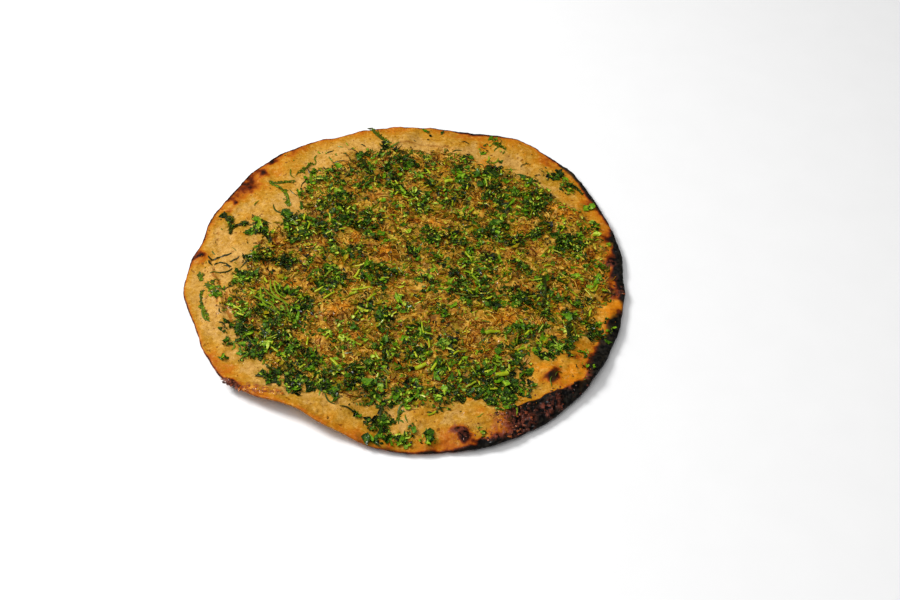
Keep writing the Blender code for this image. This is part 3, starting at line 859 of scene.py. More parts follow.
def laid_rods(name, shape, **sizes):
    """Bends a rod for each row of sizes and lays it on the bread. A size left out is nought."""
    sizes = {"wave": 0, "phase": 0, "tilt": 0, "twist": 0, **sizes}
    rod = SimpleNamespace(**{key: np.reshape(value, (-1, 1)) for key, value in sizes.items()})
    points, triangles = shape
    across, up, along = points.T[:, None]
    sway = rod.bend * (4 * along**2 - 0.5) + rod.wave * np.sin(7 * along + rod.phase)
    slope = rod.bend * 8 * along + 7 * rod.wave * np.cos(7 * along + rod.phase)
    narrowing = 1 - rod.taper * (along + 0.5)
    reach = across * rod.width * narrowing
    lengthening = 1 / np.sqrt(1 + slope**2)
    forward = along * rod.length - reach * slope * lengthening
    sideways = sway * rod.length + reach * lengthening
    cos = np.cos(rod.heading)
    sin = np.sin(rod.heading)
    x = rod.x + forward * cos - sideways * sin
    y = rod.y + forward * sin + sideways * cos
    line_x = rod.x + along * rod.length * cos - sway * rod.length * sin
    line_y = rod.y + along * rod.length * sin + sway * rod.length * cos
    rise = rod.rise + rod.tilt * along * rod.length + rod.arch * (0.25 - along**2) * rod.length
    twist = rod.twist * across * rod.width * along
    ground = laid_height(line_x, line_y)
    middle = np.maximum(ground + rise, ground + rod.height * 0.4)
    z = middle + up * rod.height * narrowing + twist
    return joined_copies(name, triangles, x, y, z, rod.tone)


def grained_finish(name, stops, scale, detail, toning, roughness, coat, gloss, relief):
    """A cooked scrap: its own tone and a grain choose its colour, and the grain roughens it."""
    scrap = Finish(name)
    grain = scrap.noise(scale, detail)
    by_tone, by_grain, base = toning
    low, high, glazed, coat_roughness = coat
    return scrap.wear(
        Base_Color=scrap.ramp(scrap.painted("tone") * by_tone + (grain - 0.5) * by_grain + base, stops),
        Roughness=roughness[0] + (grain - 0.5) * roughness[1],
        Coat_Weight=grain.within(low, high) * glazed,
        Coat_Roughness=coat_roughness,
        Specular_IOR_Level=gloss,
        Normal=scrap.bump(grain, relief[0] * MM, relief[1]),
    )


def shred_density(x, y):
    loose = 0.12 + 0.3 * smooth_step(0.5 + lumps(x, y, 9, seed=60))
    laid = topping_cover(x, y) * (1 - 0.8 * near(BARE_SPOTS, x, y))
    return laid * np.maximum(loose, near(BROWN_PATCHES, x, y) * 0.9) * inside_rim(x, y, 5)


draw = np.random.default_rng(101)
shred_x, shred_y = drawn_spots(draw, SHRED_COUNT, shred_density)
shred_mesh = laid_rods(
    "browned_shreds",
    rod_shape(3, 4),
    x=shred_x,
    y=shred_y,
    heading=5 * lumps(shred_x, shred_y, 12, seed=58) + draw.normal(0, 0.6, SHRED_COUNT),
    length=MM * draw.gamma(3.0, 1.1, SHRED_COUNT).clip(1.0, 9),
    **drawn_sizes(draw, SHRED_COUNT, width=(0.12, 0.36), height=(0.12, 0.3), bend=(-0.3, 0.3)),
    **drawn_sizes(draw, SHRED_COUNT, wave=(0, 0.07), phase=(0, 6), taper=(0, 0.6), rise=(0.05, 0.8)),
    **drawn_sizes(draw, SHRED_COUNT, tilt=(-0.12, 0.12), arch=(0, 0.3), twist=(-1.2, 1.2)),
    tone=0.45 + 0.4 * lumps(shred_x, shred_y, 5, seed=59) + draw.uniform(-0.6, 0.6, SHRED_COUNT),
)
# Fried slivers: straw, amber and reddish brown, a little oily
shred_finish = grained_finish(
    "browned_shreds",
    [(0, 48, 18, 4), (0.25, 104, 42, 6), (0.48, 154, 86, 10), (0.72, 196, 138, 28), (1, 222, 186, 88)],
    scale=700,
    detail=3,
    toning=(0.8, 0.4, 0.12),
    roughness=(0.5, 0.3),
    coat=(0.55, 0.65, 0.4, 0.16),
    gloss=0.1,
    relief=(0.2, 0.6),
)
browned_shreds = finish_piece("browned_shreds", shred_mesh, shred_finish)


# The coriander leaves.
# Leaves chopped to scraps of a few millimetres, wilted and oiled in the oven: thin, lobed, crinkled
# bits heaped in clumps, most of them nearly black-green, some olive with fat, some still fresh green.
LEAF_THICKNESS = 0.16 * MM


def leaf_shape(spokes):
    """A thin round plate whose two faces are split alike, for each scrap to be drawn out into lobes."""
    bm = bmesh.new()
    bmesh.ops.create_circle(bm, cap_ends=True, cap_tris=True, segments=spokes, radius=1)
    raised = bmesh.ops.extrude_face_region(bm, geom=list(bm.faces), use_keep_orig=True)["geom"]
    for vert in (item for item in raised if isinstance(item, bmesh.types.BMVert)):
        vert.co.z = 1
    return shape_of(bm)


def laid_leaves(name, draw, x, y, radii, pile, tone, spokes=7):
    """Draws out a lobed, crinkled scrap at each spot and drops it onto the pile there."""
    points, triangles = leaf_shape(spokes)
    count = len(x)
    angle = np.arctan2(points[:, 1], points[:, 0])
    ring = np.hypot(points[:, 0], points[:, 1]) > 0.5
    spoke = np.round(angle / (2 * math.pi) * spokes).astype(int) % spokes

    def each(low, high):
        return draw.uniform(low, high, (count, 1))

    def by_spoke(low, high):
        return draw.uniform(low, high, (count, spokes))[:, spoke]

    lobes = 0.84 + 0.24 * np.cos(3 * angle[None] + each(0, 6.3))
    reach = radii[:, None] * lobes * by_spoke(0.7, 1.2) * ring[None]
    stretch = each(0.8, 1.7)
    a = reach * np.cos(angle)[None] * stretch
    b = reach * np.sin(angle)[None] / stretch
    crinkle = by_spoke(-0.3, 0.3) * ring[None] * radii[:, None]
    curl_heading = each(0, math.pi)
    lengthwise = a * np.cos(curl_heading) + b * np.sin(curl_heading)
    h = crinkle + each(-0.4, 0.5) * lengthwise**2 / radii[:, None] + each(-0.3, 0.3) * np.abs(lengthwise)
    tilt_a = each(-0.35, 0.35)
    tilt_b = each(-0.35, 0.35)
    h = h * np.cos(tilt_a) + a * np.sin(tilt_a) + b * np.sin(tilt_b)
    a = a * np.cos(tilt_a)
    b = b * np.cos(tilt_b)
    heading = each(0, 2 * math.pi)
    leaf_x = x[:, None] + a * np.cos(heading) - b * np.sin(heading)
    leaf_y = y[:, None] + a * np.sin(heading) + b * np.cos(heading)
    ground = laid_height(leaf_x, leaf_y)
    middle = laid_height(x, y)[:, None] + each(0.1, 1.0) * pile[:, None] + 0.2 * MM
    z = np.maximum(middle + h, ground + 0.08 * MM) + points[:, 2][None] * LEAF_THICKNESS
    shading = tone[:, None] + by_spoke(-0.22, 0.22) + 0.12 * (1 - ring[None])
    return joined_copies(name, triangles, leaf_x, leaf_y, z, shading)


def leaf_finish(name, roughness, stops):
    """Wilted leaf: mottled green, satin, with fine oily glints from its coat and pale green specks painted on
    as glints.
    """
    leaf = Finish(name)
    grain = leaf.noise(620, 3)
    veins_and_painted_glints = leaf.noise(1500, 2, seed=2)
    colour = leaf.ramp(leaf.painted("tone") * 0.75 + (grain - 0.5) * 0.9 + 0.12, stops)
    return leaf.wear(
        # Painted highlights: pale green specks laid into the colour as glints.
        Base_Color=leaf.layers(colour, (veins_and_painted_glints.within(0.58, 0.68) * 0.35, (150, 160, 60))),
        Roughness=roughness + (grain - 0.5) * 0.3,
        Coat_Weight=leaf.noise(900, 2, seed=3).within(0.57, 0.64) * 0.45,
        Coat_Roughness=0.2,
        Specular_IOR_Level=0.06,
        Normal=leaf.bump(veins_and_painted_glints, 0.3 * MM, 0.8),
    )


def heaped(x, y, base=0, dark=0, fresh=0):
    """How high the green is piled, from its heights in the middle of a clump in millimetres."""
    return fresh * MM * near(FRESH_CLUMPS, x, y) + dark * MM * near(DARK_CLUMPS, x, y) + base * MM


def uncovered(x, y, share):
    """Thins what is strewn on the brown patches and far off, and leaves the bare swellings free."""
    brown = 1 - share * near(BROWN_PATCHES, x, y)
    bare = (1.6 * near(BARE_SPOTS, x, y)).clip(0, 1)
    return brown * (1 - bare) * (1 - 0.4 * smooth_step((y - 50 * MM) / (40 * MM)))


def strewn_leaves(kind, seed, count, density, cut, heap, stops, roughness, patches=None, spokes=7):
    """Chops, draws and lays one kind of leaf. Neighbours are of one leaf, so their tones go together."""
    draw = np.random.default_rng(seed)
    x, y = drawn_spots(draw, count, density)
    evenness, size, smallest, largest = cut
    radii = MM * draw.gamma(evenness, size, count).clip(smallest, largest)
    if patches:
        tone = 0.45 + 0.55 * lumps(x, y, 6, patches) + 0.45 * draw.uniform(-1, 1, count)
    else:
        tone = draw.beta(1.1, 1.9, count) * 1.3
    mesh = laid_leaves(f"coriander_{kind}", draw, x, y, radii, heaped(x, y, **heap), tone, spokes)
    return finish_piece(mesh.name, mesh, leaf_finish(f"{kind}_leaf", roughness, stops))


def dark_density(x, y):
    clump = smooth_step(1.8 * near(DARK_CLUMPS, x, y))
    drift = smooth_step((lumps(x, y, 12, seed=61) + 0.6 * lumps(x, y, 5, seed=62) - 0.05) / 0.4)
    zone = topping_cover(x, y) * (0.03 + 0.14 * drift)
    return np.maximum(zone, clump * 0.9) * uncovered(x, y, 0.75) * inside_rim(x, y, 2)


def olive_density(x, y):
    drift = smooth_step(0.5 + 0.9 * lumps(x, y, 9, seed=65))
    return topping_cover(x, y) * (0.3 + 0.6 * drift) * uncovered(x, y, 0.75) * inside_rim(x, y, 3)


def fresh_density(x, y):
    clump = np.maximum(near(FRESH_CLUMPS, x, y), 0.45 * near(DARK_CLUMPS, x, y))
    drift = smooth_step((lumps(x, y, 10, seed=71) - 0.05) / 0.4)
    zone = topping_cover(x, y) * (0.06 + 0.3 * drift)
    return np.maximum(zone, clump * 0.9) * uncovered(x, y, 0.8) * inside_rim(x, y, 3)


coriander_dark = strewn_leaves(
    "dark",
    seed=201,
    count=5400,
    density=dark_density,
    cut=(2.6, 0.42, 0.4, 3.4),
    heap={"dark": 1.4, "base": 0.1},
    stops=[(0, 6, 11, 3), (0.3, 14, 27, 5), (0.6, 32, 57, 9), (0.85, 64, 102, 18), (1, 132, 156, 50)],
    roughness=0.42,
    patches=63,
)
coriander_olive = strewn_leaves(
    "olive",
    seed=203,
    count=5000,
    density=olive_density,
    cut=(4, 0.25, 0.35, 2.6),
    heap={"dark": 0.8, "base": 0.1},
    stops=[(0, 44, 34, 4), (0.3, 82, 66, 6), (0.6, 118, 100, 10), (0.85, 154, 136, 20), (1, 190, 170, 56)],
    roughness=0.5,
    patches=64,
    spokes=5,
)
coriander_fresh = strewn_leaves(
    "fresh",
    seed=202,
    count=2500,
    density=fresh_density,
    cut=(2.6, 0.4, 0.4, 3.2),
    heap={"fresh": 1.2, "dark": 1.5, "base": 0.2},
    stops=[(0, 24, 44, 5), (0.3, 48, 82, 8), (0.6, 80, 122, 12), (0.85, 124, 158, 26), (1, 182, 196, 74)],
    roughness=0.45,
    patches=66,
)


# The coriander crumbs.
# The finest of the chopped leaf, dust to a millimetre across, settled in and between the clumps:
# black-green where it soaked up oil, bright where a broken edge shows.
def fine_density(x, y):
    cover = topping_cover(x, y)
    edge = 0.1 * cover + 1.6 * cover * (1 - cover)
    laid = np.maximum(edge, smooth_step(1.5 * near_green(x, y))).clip(0, 1)
    return laid * uncovered(x, y, 0.6) * inside_rim(x, y, 3)


coriander_fine = strewn_leaves(
    "fine",
    seed=204,
    count=7000,
    density=fine_density,
    cut=(5, 0.115, 0.25, 1.3),
    heap={"dark": 1.9, "fresh": 1.0, "base": 0.2},
    stops=[(0, 5, 9, 3), (0.3, 18, 30, 4), (0.6, 44, 66, 6), (0.8, 92, 120, 12), (1, 176, 190, 60)],
    roughness=0.42,
    spokes=5,
)


# The chopped stems.
# Stems cut to short lengths with the leaves: pale yellow-green rods a millimetre or so thick that
# kept their colour in the oven, scattered over the green.
STEM_COUNT = 480
STEM_STOPS = [(0, 58, 66, 8), (0.3, 96, 108, 12), (0.6, 136, 152, 18)]
STEM_STOPS += [(0.85, 172, 180, 36), (1, 196, 192, 84)]


def stem_density(x, y):
    return topping_cover(x, y) * (0.35 + 0.5 * near_green(x, y)) * uncovered(x, y, 0.3) * inside_rim(x, y, 6)


def finish_stems(mesh, material_name, stops):
    """Cooked stem: pale green drawn out lengthwise, glossy."""
    finish = grained_finish(
        material_name,
        stops,
        scale=600,
        detail=2,
        toning=(0.85, 0.4, 0.08),
        roughness=(0.38, 0.2),
        coat=(0.5, 0.6, 0.4, 0.16),
        gloss=0.15,
        relief=(0.15, 0.4),
    )
    return finish_piece(mesh.name, mesh, finish)


draw = np.random.default_rng(301)
stem_x, stem_y = drawn_spots(draw, STEM_COUNT, stem_density)
stem_mesh = laid_rods(
    "chopped_stems",
    rod_shape(6, 4),
    x=stem_x,
    y=stem_y,
    heading=draw.uniform(0, 2 * math.pi, STEM_COUNT),
    length=MM * draw.gamma(3.2, 0.9, STEM_COUNT).clip(1.2, 7),
    **drawn_sizes(draw, STEM_COUNT, width=(0.28, 0.66), height=(0.24, 0.5)),
    **drawn_sizes(draw, STEM_COUNT, bend=(-0.05, 0.05), taper=(0, 0.3)),
    rise=0.4 * MM + heaped(stem_x, stem_y, dark=1.7, fresh=1.2) * draw.uniform(0.4, 1.05, STEM_COUNT),
    **drawn_sizes(draw, STEM_COUNT, tilt=(-0.25, 0.25), arch=(0, 0.1)),
    tone=draw.uniform(0, 1, STEM_COUNT),
)
chopped_stems = finish_stems(stem_mesh, "stem", STEM_STOPS)


# The larger stems.
# Stem ends that stayed whole and bright lie on top of the green, each of them one to a few
# millimetres thick and easily told apart: x, y, length, heading in degrees, width, tone.
BIG_STEMS = np.array([
    (-61, 39, 5, 90, 1, 0.8), (-58, 32, 5, 80, 0.9, 0.7), (-46, 39, 6, 95, 1, 0.8),
    (-46, 27, 4, 30, 0.9, 0.95), (24, 71, 5, 20, 2.4, 0.8), (12, 93, 2.4, 10, 1.3, 0.9),
    (1, 55, 3.4, 40, 1.3, 0.8), (5, 57, 3, 120, 1.2, 0.8), (-2, 58, 4, 150, 1, 0.75),
    (47, 71, 5, 100, 1.1, 0.8), (71, 76, 4.5, 0, 1.1, 0.85), (92, 38, 3, 45, 1, 0.8),
    (91, 32, 4.5, 60, 1, 0.8), (55, 39, 4, 100, 1.2, 0.85), (57, 41, 3, 30, 1.1, 0.8),
    (28, 24, 3, 80, 1, 0.8), (35, 10, 5.5, 130, 1.2, 0.75), (-49, -18, 6, 40, 1.3, 0.95),
    (-28.5, -5.5, 6, 60, 1.5, 0.85), (-25, -17, 12, 8, 1.2, 0.8), (-30, -20, 4.4, 20, 1.8, 0.7),
    (-43, -23, 8, 42, 1.2, 0.8), (-19.5, -23.5, 7, 45, 1.6, 0.6), (-24, -34, 6.5, 165, 1.7, 0.9),
    (-42, -53, 5, 70, 1, 0.8), (-37, -71, 9, 130, 1.6, 0.8), (-5, -55, 5, 100, 1.2, 0.8),
    (-30, -55, 14, 150, 1.1, 0.6), (-53, -56, 5.5, 88, 1.2, 0.8), (-93, -32, 4, 20, 1.4, 0.9),
    (-79, -12, 5, 115, 1.2, 0.75), (9, -46, 8, 100, 1.1, 0.65), (12.5, -57, 6, 95, 1, 0.7),
    (8, -72, 6.5, 25, 2.6, 0.75), (15, -74, 5, 60, 1.5, 0.85), (43, -70, 6.5, 85, 1.5, 0.75),
    (51, -78, 7, 15, 2.6, 0.7), (47, -48, 8, 10, 2.6, 0.6), (66, -48, 4, 50, 1.3, 0.8),
    (54, -52, 6, 95, 1.3, 0.4), (27, -64, 4, 40, 1.2, 0.8), (14, -104, 5, 35, 1.1, 0.7),
    (29, -70, 4, 70, 1.3, 0.75), (-15, -66, 5, 120, 1.3, 0.7), (62, -60, 5, 30, 1.5, 0.6),
    (80, 2, 4, 20, 1.1, 0.7), (38, 48, 4, 60, 1.1, 0.75), (-70, -62, 5, 140, 1.2, 0.7),
    (-38, 30, 4, 20, 1.1, 0.8),
])
big_x, big_y, big_length, big_heading, big_width, big_tone = BIG_STEMS.T
draw = np.random.default_rng(302)
big_mesh = laid_rods(
    "large_stems",
    rod_shape(8, 6),
    x=big_x * MM,
    y=big_y * MM,
    heading=np.radians(big_heading),
    length=big_length * MM,
    width=big_width * 0.5 * MM,
    height=big_width * 0.32 * MM,
    **drawn_sizes(draw, len(BIG_STEMS), bend=(-0.05, 0.05), wave=(0, 0.01), phase=(0, 6), taper=(0, 0.35)),
    rise=0.9 * MM + heaped(big_x * MM, big_y * MM, dark=1.5),
    **drawn_sizes(draw, len(BIG_STEMS), tilt=(-0.08, 0.08), arch=(0, 0.06)),
    tone=big_tone,
)
large_stems = finish_stems(big_mesh, "large_stem", STEM_STOPS)


# The sprigs.
# Fronds that escaped the knife lie flat on the bare dough round the topping and across it: a soft
# stalk with small leaves along both sides. From x, y to x, y, width, tone.
SPRIGS = np.array([
    (-84, 70, -69, 72, 1.6, 0.4), (-84, 70, -74, 62, 1.6, 0.5), (-74, 62, -71, 50, 1.8, 0.55),
    (-73, 81, -70, 74, 0.9, 0.5), (-81, 49, -71, 40, 1.2, 0.3), (-58, 97, -58, 88, 0.8, 0.5),
    (-58, 84, -60, 62, 2.2, 0.6), (-67, 78, -60, 89, 2, 0.4), (-62, 76, -65, 66, 1.1, 0.1),
    (-31, 94, -25, 80, 1.6, 0.1), (-25, 123, -12, 106, 1.7, 0.35), (-109, 43, -104, 35, 2.4, 0.05),
    (-104, 35, -103, 25, 1.6, 0.1), (-101, 32, -93, 34, 1.6, 0.05), (-93, 34, -80, 35, 0.8, 0.2),
    (-114, 8, -111.5, 5.5, 1.2, 0.05), (-112, 6, -105, 8.5, 1.3, 0.05), (-106, 8.5, -100.5, 10.5, 1.3, 0),
    (-110, 2, -106.5, 4, 0.9, 0.1), (-107.5, 4, -103, 3, 1.1, 0.1), (-103.5, 3, -100, 0.5, 1.3, 0.05),
    (-101, 4, -96, 8, 1.1, 0.1), (-96.5, -23.5, -91, -26, 1.2, 0.1), (-99, -1, -107, -5, 1.2, 0.1),
    (-113.5, 5, -111, 1.5, 1.2, 0.05), (-117, -4, -116, -11, 2.2, 0.45), (-112, -13, -104, -26, 2.8, 0.4),
    (-114, -20, -113, -30, 1.4, 0.4), (-113, -30, -108, -42, 1.9, 0.55), (-84, -20, -62, -42, 1.4, 0.8),
    (-80, -17, -63, -36, 1.2, 0.7), (-78, -13, -66, -31, 1, 0.8), (-84, -24, -70, -38, 1.2, 0.75),
    (-75, -14, -68, -26, 1, 0.85), (-102, -42, -98, -45, 1.2, 0.1), (-97, -52, -95, -58, 0.9, 0.3),
    (-98, -64, -94, -67, 0.8, 0.2), (-42, -92, -36, -100, 0.9, 0.3), (-33, -100, -22, -106, 0.9, 0.1),
    (32, -3, 42, -11, 1.7, 0.85), (-79, -79, -72, -81, 0.8, 0.2), (-17, 103, -18, 95, 1.5, 0.1),
    (88, -30, 93, -38, 1.6, 0.1), (89, -40, 90, -60, 1.9, 0.05), (12, -30, 23, -37, 1.8, 0.1),
    (46, 65, 45, 52, 1.8, 0.1), (77, -6, 77, -26, 1.8, 0.05), (52, 110, 60, 104, 1.6, 0.4),
    (-38, 88, -30, 76, 1.3, 0.25), (-56, 66, -48, 58, 1.2, 0.5), (-16, -112, -10, -96, 1.6, 0.15),
    (-5, -108, 4, -92, 1.4, 0.4), (22, -84, 30, -96, 1.4, 0.2), (98, 74, 106, 64, 1.5, 0.05),
])
SPRIG_STOPS = [(0, 22, 28, 6), (0.3, 54, 60, 8), (0.6, 86, 108, 12), (0.85, 126, 150, 22), (1, 168, 180, 56)]
LEAVES_PER_MM = 2.2
THINNEST_LEAFY = 1.3


def blade_shape(sides, segments):
    """A rod drawn out thin towards both ends."""
    points, triangles = rod_shape(sides, segments)
    points[:, :2] *= np.sqrt(1 - (1.9 * points[:, 2:]) ** 2)
    return points, triangles


draw = np.random.default_rng(401)
sprig_count = len(SPRIGS)
sprig_width, sprig_tone = SPRIGS[:, 4:].T
sprig_start = SPRIGS[:, 0:2] * MM
sprig_run = (SPRIGS[:, 2:4] - SPRIGS[:, 0:2]) * MM
sprig_length = np.hypot(sprig_run[:, 0], sprig_run[:, 1])
sprig_x, sprig_y = ((SPRIGS[:, 0:2] + SPRIGS[:, 2:4]) / 2 * MM).T
sprig_pile = heaped(sprig_x, sprig_y, dark=1.3)
sprig_mesh = laid_rods(
    "sprig_stalks",
    blade_shape(6, 8),
    x=sprig_x,
    y=sprig_y,
    heading=np.arctan2(sprig_run[:, 1], sprig_run[:, 0]),
    length=sprig_length,
    width=(sprig_width * 0.3 + 0.34) * MM,
    height=sprig_width * 0.24 * MM,
    rise=0.25 * MM + sprig_pile + 1.0 * MM * (sprig_tone > 0.6),
    **drawn_sizes(draw, sprig_count, bend=(-0.2, 0.2), wave=(0.01, 0.06), phase=(0, 6), taper=(0.2, 0.6)),
    **drawn_sizes(draw, sprig_count, arch=(0, 0.03)),
    tone=sprig_tone,
)
sprig_stalks = finish_stems(sprig_mesh, "sprig_stalk", SPRIG_STOPS)

leaves_each = np.ceil(sprig_length / MM * LEAVES_PER_MM) * (sprig_width > THINNEST_LEAFY)
along_sprig = np.repeat(np.arange(sprig_count), leaves_each.astype(int))
leaf_share = draw.uniform(0, 1, len(along_sprig))
leaf_side = draw.normal(0, 0.36, len(along_sprig)) * sprig_width[along_sprig] * MM
sprig_across = np.stack((-sprig_run[:, 1], sprig_run[:, 0]), -1) / sprig_length[:, None]
leaf_spot = sprig_start[along_sprig] + leaf_share[:, None] * sprig_run[along_sprig]
leaf_spot = leaf_spot + leaf_side[:, None] * sprig_across[along_sprig]
sprig_leaf_mesh = laid_leaves(
    "sprig_leaves",
    draw,
    *leaf_spot.T,
    MM * draw.uniform(0.35, 0.8, len(along_sprig)) * np.sqrt(sprig_width[along_sprig]),
    sprig_pile[along_sprig] + 0.1 * MM,
    sprig_tone[along_sprig] + draw.uniform(-0.2, 0.25, len(along_sprig)),
)
sprig_leaf_finish = leaf_finish("sprig_leaf", 0.45, SPRIG_STOPS)
sprig_leaves = finish_piece("sprig_leaves", sprig_leaf_mesh, sprig_leaf_finish)


# The strewn blades.
# Narrow strips of leaf and stalk that slid out of the topping onto the dough round it and lie
# there singly, a few millimetres long.
BLADE_COUNT = 260


def blade_density(x, y):
    cover = topping_cover(x, y)
    return (0.06 + 3.6 * cover * (1 - cover)).clip(0, 1) * (cover < 0.98) * inside_rim(x, y, 9)


draw = np.random.default_rng(402)
blade_x, blade_y = drawn_spots(draw, BLADE_COUNT, blade_density)
blade_mesh = laid_rods(
    "strewn_blades",
    blade_shape(5, 6),
    x=blade_x,
    y=blade_y,
    heading=draw.uniform(0, 2 * math.pi, BLADE_COUNT),
    length=MM * draw.gamma(4, 1.1, BLADE_COUNT).clip(1.5, 9),
    **drawn_sizes(draw, BLADE_COUNT, width=(0.25, 0.6), height=(0.15, 0.3), bend=(-0.25, 0.25)),
    **drawn_sizes(draw, BLADE_COUNT, wave=(0, 0.05), phase=(0, 6), taper=(0, 0.4), rise=(0.1, 0.4)),
    **drawn_sizes(draw, BLADE_COUNT, arch=(0, 0.05)),
    tone=draw.beta(1.2, 1.6, BLADE_COUNT),
)
strewn_blades = finish_stems(blade_mesh, "strewn_blade", SPRIG_STOPS)


# The blistered crust.
# Dough that boiled up and burnt at the rim: knobs a millimetre or two across, glazed, dark and
# reddish, in a row on the lifted lip and over the burnt strip.
# Each group: x, y, spread, number, size, tone.
KNOB_GROUPS = [
    (-94.5, -81.5, 0.8, 8, 0.8, 0.25), (-92.5, -83.5, 1, 14, 1, 0.2), (-90, -86, 1, 14, 1, 0.2),
    (-87.5, -87.5, 0.9, 8, 0.9, 0.3), (-83, -89, 1.2, 10, 0.9, 0.7), (-78.5, -90, 1.2, 10, 1, 0.75),
    (-73, -91.5, 1.4, 12, 1, 0.75), (-68, -92.5, 1.2, 10, 0.9, 0.7), (-64, -93.5, 1, 6, 0.8, 0.8),
    (48, -108, 3, 24, 0.6, 0.6), (54, -107, 4, 44, 0.7, 0.35), (61, -103, 4, 44, 0.7, 0.25),
    (57, -112, 3, 26, 0.6, 0.35), (68, -100, 4, 24, 0.7, 0.1), (79, -95, 4, 24, 0.7, 0.15),
    (42, -116, 2, 10, 0.6, 0.3), (32, -116, 3, 12, 0.6, 0.2), (116, -14, 3.5, 20, 0.6, 0.25),
    (88, -86, 4, 14, 0.6, 0),
]
draw = np.random.default_rng(601)
knob_rows = [row for row in KNOB_GROUPS for _ in range(row[3])]
knob_x, knob_y, knob_spread, _, knob_size, knob_tone = np.array(knob_rows).T
knob_count = len(knob_rows)
knob_x = (knob_x + draw.normal(0, 1, knob_count) * knob_spread) * MM
knob_y = (knob_y + draw.normal(0, 1, knob_count) * knob_spread) * MM
knob_size = (knob_size * draw.uniform(0.4, 1.15, knob_count) * MM)[:, None]

# A knob that would fall past the rim sits on it. Only the lump at the lower left stands out.
knob_limit = rim_radius(np.arctan2(knob_y, knob_x)) + np.where(knob_x < 0, 1.8, -0.4) * MM
knob_pull = np.minimum(1, knob_limit / np.hypot(knob_x, knob_y))
knob_x, knob_y = knob_x * knob_pull, knob_y * knob_pull


def ball_shape(splits):
    bm = bmesh.new()
    bmesh.ops.create_icosphere(bm, subdivisions=splits, radius=1)
    return shape_of(bm)


def laid_balls(name, shape, x, y, size, stretch, flatness, lift, tone, bumps=1):
    """Stretches a ball at each place and lays it on the bread."""
    points, triangles = shape
    first, second, up = points.T[:, None]
    ball_x = x[:, None] + first * size * bumps * stretch
    ball_y = y[:, None] + second * size * bumps / stretch
    ball_z = laid_height(x, y)[:, None] + size * (flatness * up * bumps + lift)
    return joined_copies(name, triangles, ball_x, ball_y, ball_z, tone)


knob_shape = ball_shape(2)
knob_mesh = laid_balls(
    "blistered_crust",
    knob_shape,
    knob_x,
    knob_y,
    knob_size,
    bumps=1 + draw.uniform(-0.34, 0.34, (knob_count, len(knob_shape[0]))),
    stretch=draw.uniform(0.6, 1.8, (knob_count, 1)),
    flatness=0.45,
    lift=-0.15,
    tone=knob_tone[:, None] + draw.uniform(-0.3, 0.3, (knob_count, 1)),
)
# Burnt, glazed dough: nearly black through purple brown to orange brown, wet-looking
crust_finish = grained_finish(
    "blistered_crust",
    [(0, 30, 14, 8), (0.3, 84, 42, 28), (0.5, 124, 62, 40), (0.7, 164, 90, 26), (1, 206, 140, 50)],
    scale=500,
    detail=3,
    toning=(1, 0.5, 0),
    roughness=(0.45, 0.3),
    coat=(0.5, 0.58, 0.9, 0.15),
    gloss=0.1,
    relief=(0.4, 0.8),
)
blistered_crust = finish_piece("blistered_crust", knob_mesh, crust_finish)


# The crumbs.
# Specks of leaf, crust and toasted flour, up to a millimetre and a half across, that fell from the
# topping as it was pressed on: strewn loose over the whole top, thickest in the topping.
CRUMB_COUNT = 2400
CRUMB_STOPS = [(0, 20, 12, 5), (0.25, 78, 36, 6), (0.5, 150, 88, 14), (0.7, 190, 140, 50), (0.85, 90, 96, 12)]


def crumb_density(x, y):
    return (0.10 + 0.9 * topping_cover(x, y)) * inside_rim(x, y, 3)


draw = np.random.default_rng(501)
crumb_x, crumb_y = drawn_spots(draw, CRUMB_COUNT, crumb_density)
crumb_mesh = laid_balls(
    "crumbs",
    ball_shape(1),
    crumb_x,
    crumb_y,
    size=MM * draw.gamma(3, 0.1, (CRUMB_COUNT, 1)).clip(0.12, 0.8),
    stretch=draw.uniform(0.6, 1.6, (CRUMB_COUNT, 1)),
    flatness=0.7,
    lift=0.2,
    tone=draw.uniform(0, 1, (CRUMB_COUNT, 1)),
)
crumb_finish = leaf_finish("crumb", 0.55, CRUMB_STOPS + [(1, 44, 58, 8)])
crumbs = finish_piece("crumbs", crumb_mesh, crumb_finish)


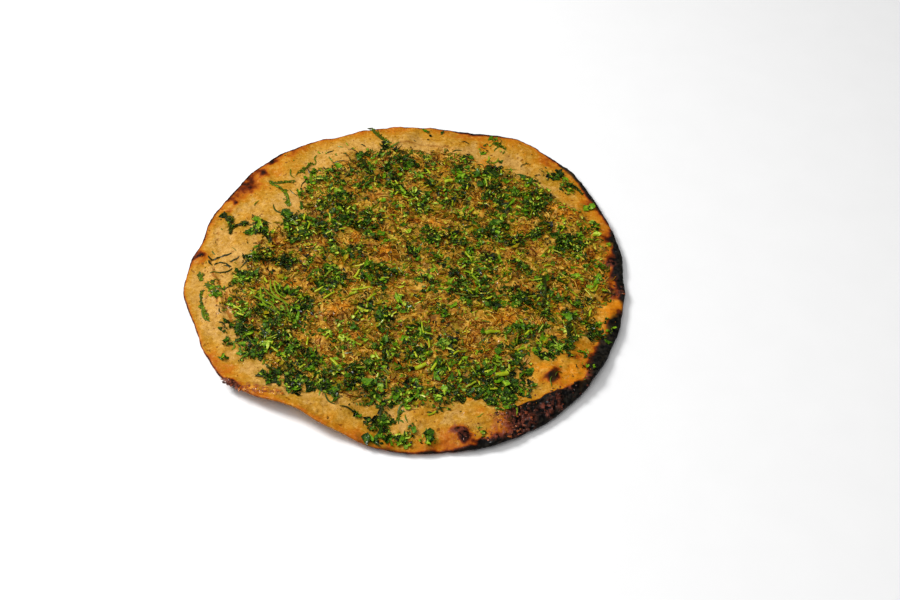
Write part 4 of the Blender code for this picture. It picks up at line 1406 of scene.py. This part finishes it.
# The floor, the light and the camera.
# A plain pale table, a broad soft light high on the left and the photograph's view of a diner
# looking down at the bread.
PICTURE_WIDTH = 900
FOCAL_PIXELS = 1250
SENSOR_WIDTH = 36.0
CAMERA_PLACE = (5.04 * MM, -489.5 * MM, 523.0 * MM)
CAMERA_TURNS = (math.radians(41.982), 0, math.radians(-2.348))
CAMERA_ROLL = math.radians(2.437)
FLOOR_SIZE = 30.0
WORLD_STRENGTH = 0.16

floor_bm = bmesh.new()
bmesh.ops.create_grid(floor_bm, x_segments=1, y_segments=1, size=FLOOR_SIZE)
floor_mesh = bpy.data.meshes.new("floor")
floor_bm.to_mesh(floor_mesh)
floor_bm.free()
table = Finish("pale_table")
table_colour = table.mix(table.noise(40, 2), (0.84, 0.84, 0.84, 1), (0.87, 0.87, 0.87, 1))
floor_mesh.materials.append(table.wear(Base_Color=table_colour, Roughness=0.6))
floor = bpy.data.objects.new("floor", floor_mesh)
bpy.context.scene.collection.objects.link(floor)

world = bpy.data.worlds.new("studio")
world.use_nodes = True
world.node_tree.nodes["Background"].inputs["Color"].default_value = (1.0, 1.0, 1.0, 1)
world.node_tree.nodes["Background"].inputs["Strength"].default_value = WORLD_STRENGTH
bpy.context.scene.world = world


def soft_light(name, place, turns, size, power):
    light = bpy.data.lights.new(name, "AREA")
    light.size = size
    light.energy = power
    lamp = bpy.data.objects.new(name, light)
    lamp.location = place
    lamp.rotation_euler = turns
    bpy.context.scene.collection.objects.link(lamp)


soft_light("key", (-0.9, 0.35, 1.1), (math.radians(-15), math.radians(-39), 0), size=0.5, power=21)
soft_light("front", (-0.2, -0.45, 1.5), (math.radians(16.7), math.radians(-7.6), 0), size=1.6, power=15)

camera_data = bpy.data.cameras.new("camera")
camera_data.sensor_width = SENSOR_WIDTH
camera_data.lens = FOCAL_PIXELS / PICTURE_WIDTH * SENSOR_WIDTH
camera = bpy.data.objects.new("camera", camera_data)
turn = Euler(CAMERA_TURNS).to_matrix() @ Euler((0, 0, CAMERA_ROLL)).to_matrix()
camera.matrix_world = turn.to_4x4()
camera.location = (CAMERA_PLACE[0] - CENTRE_X, CAMERA_PLACE[1] - CENTRE_Y, CAMERA_PLACE[2])
bpy.context.scene.collection.objects.link(camera)
bpy.context.scene.camera = camera
bpy.context.scene.view_settings.view_transform = "Standard"
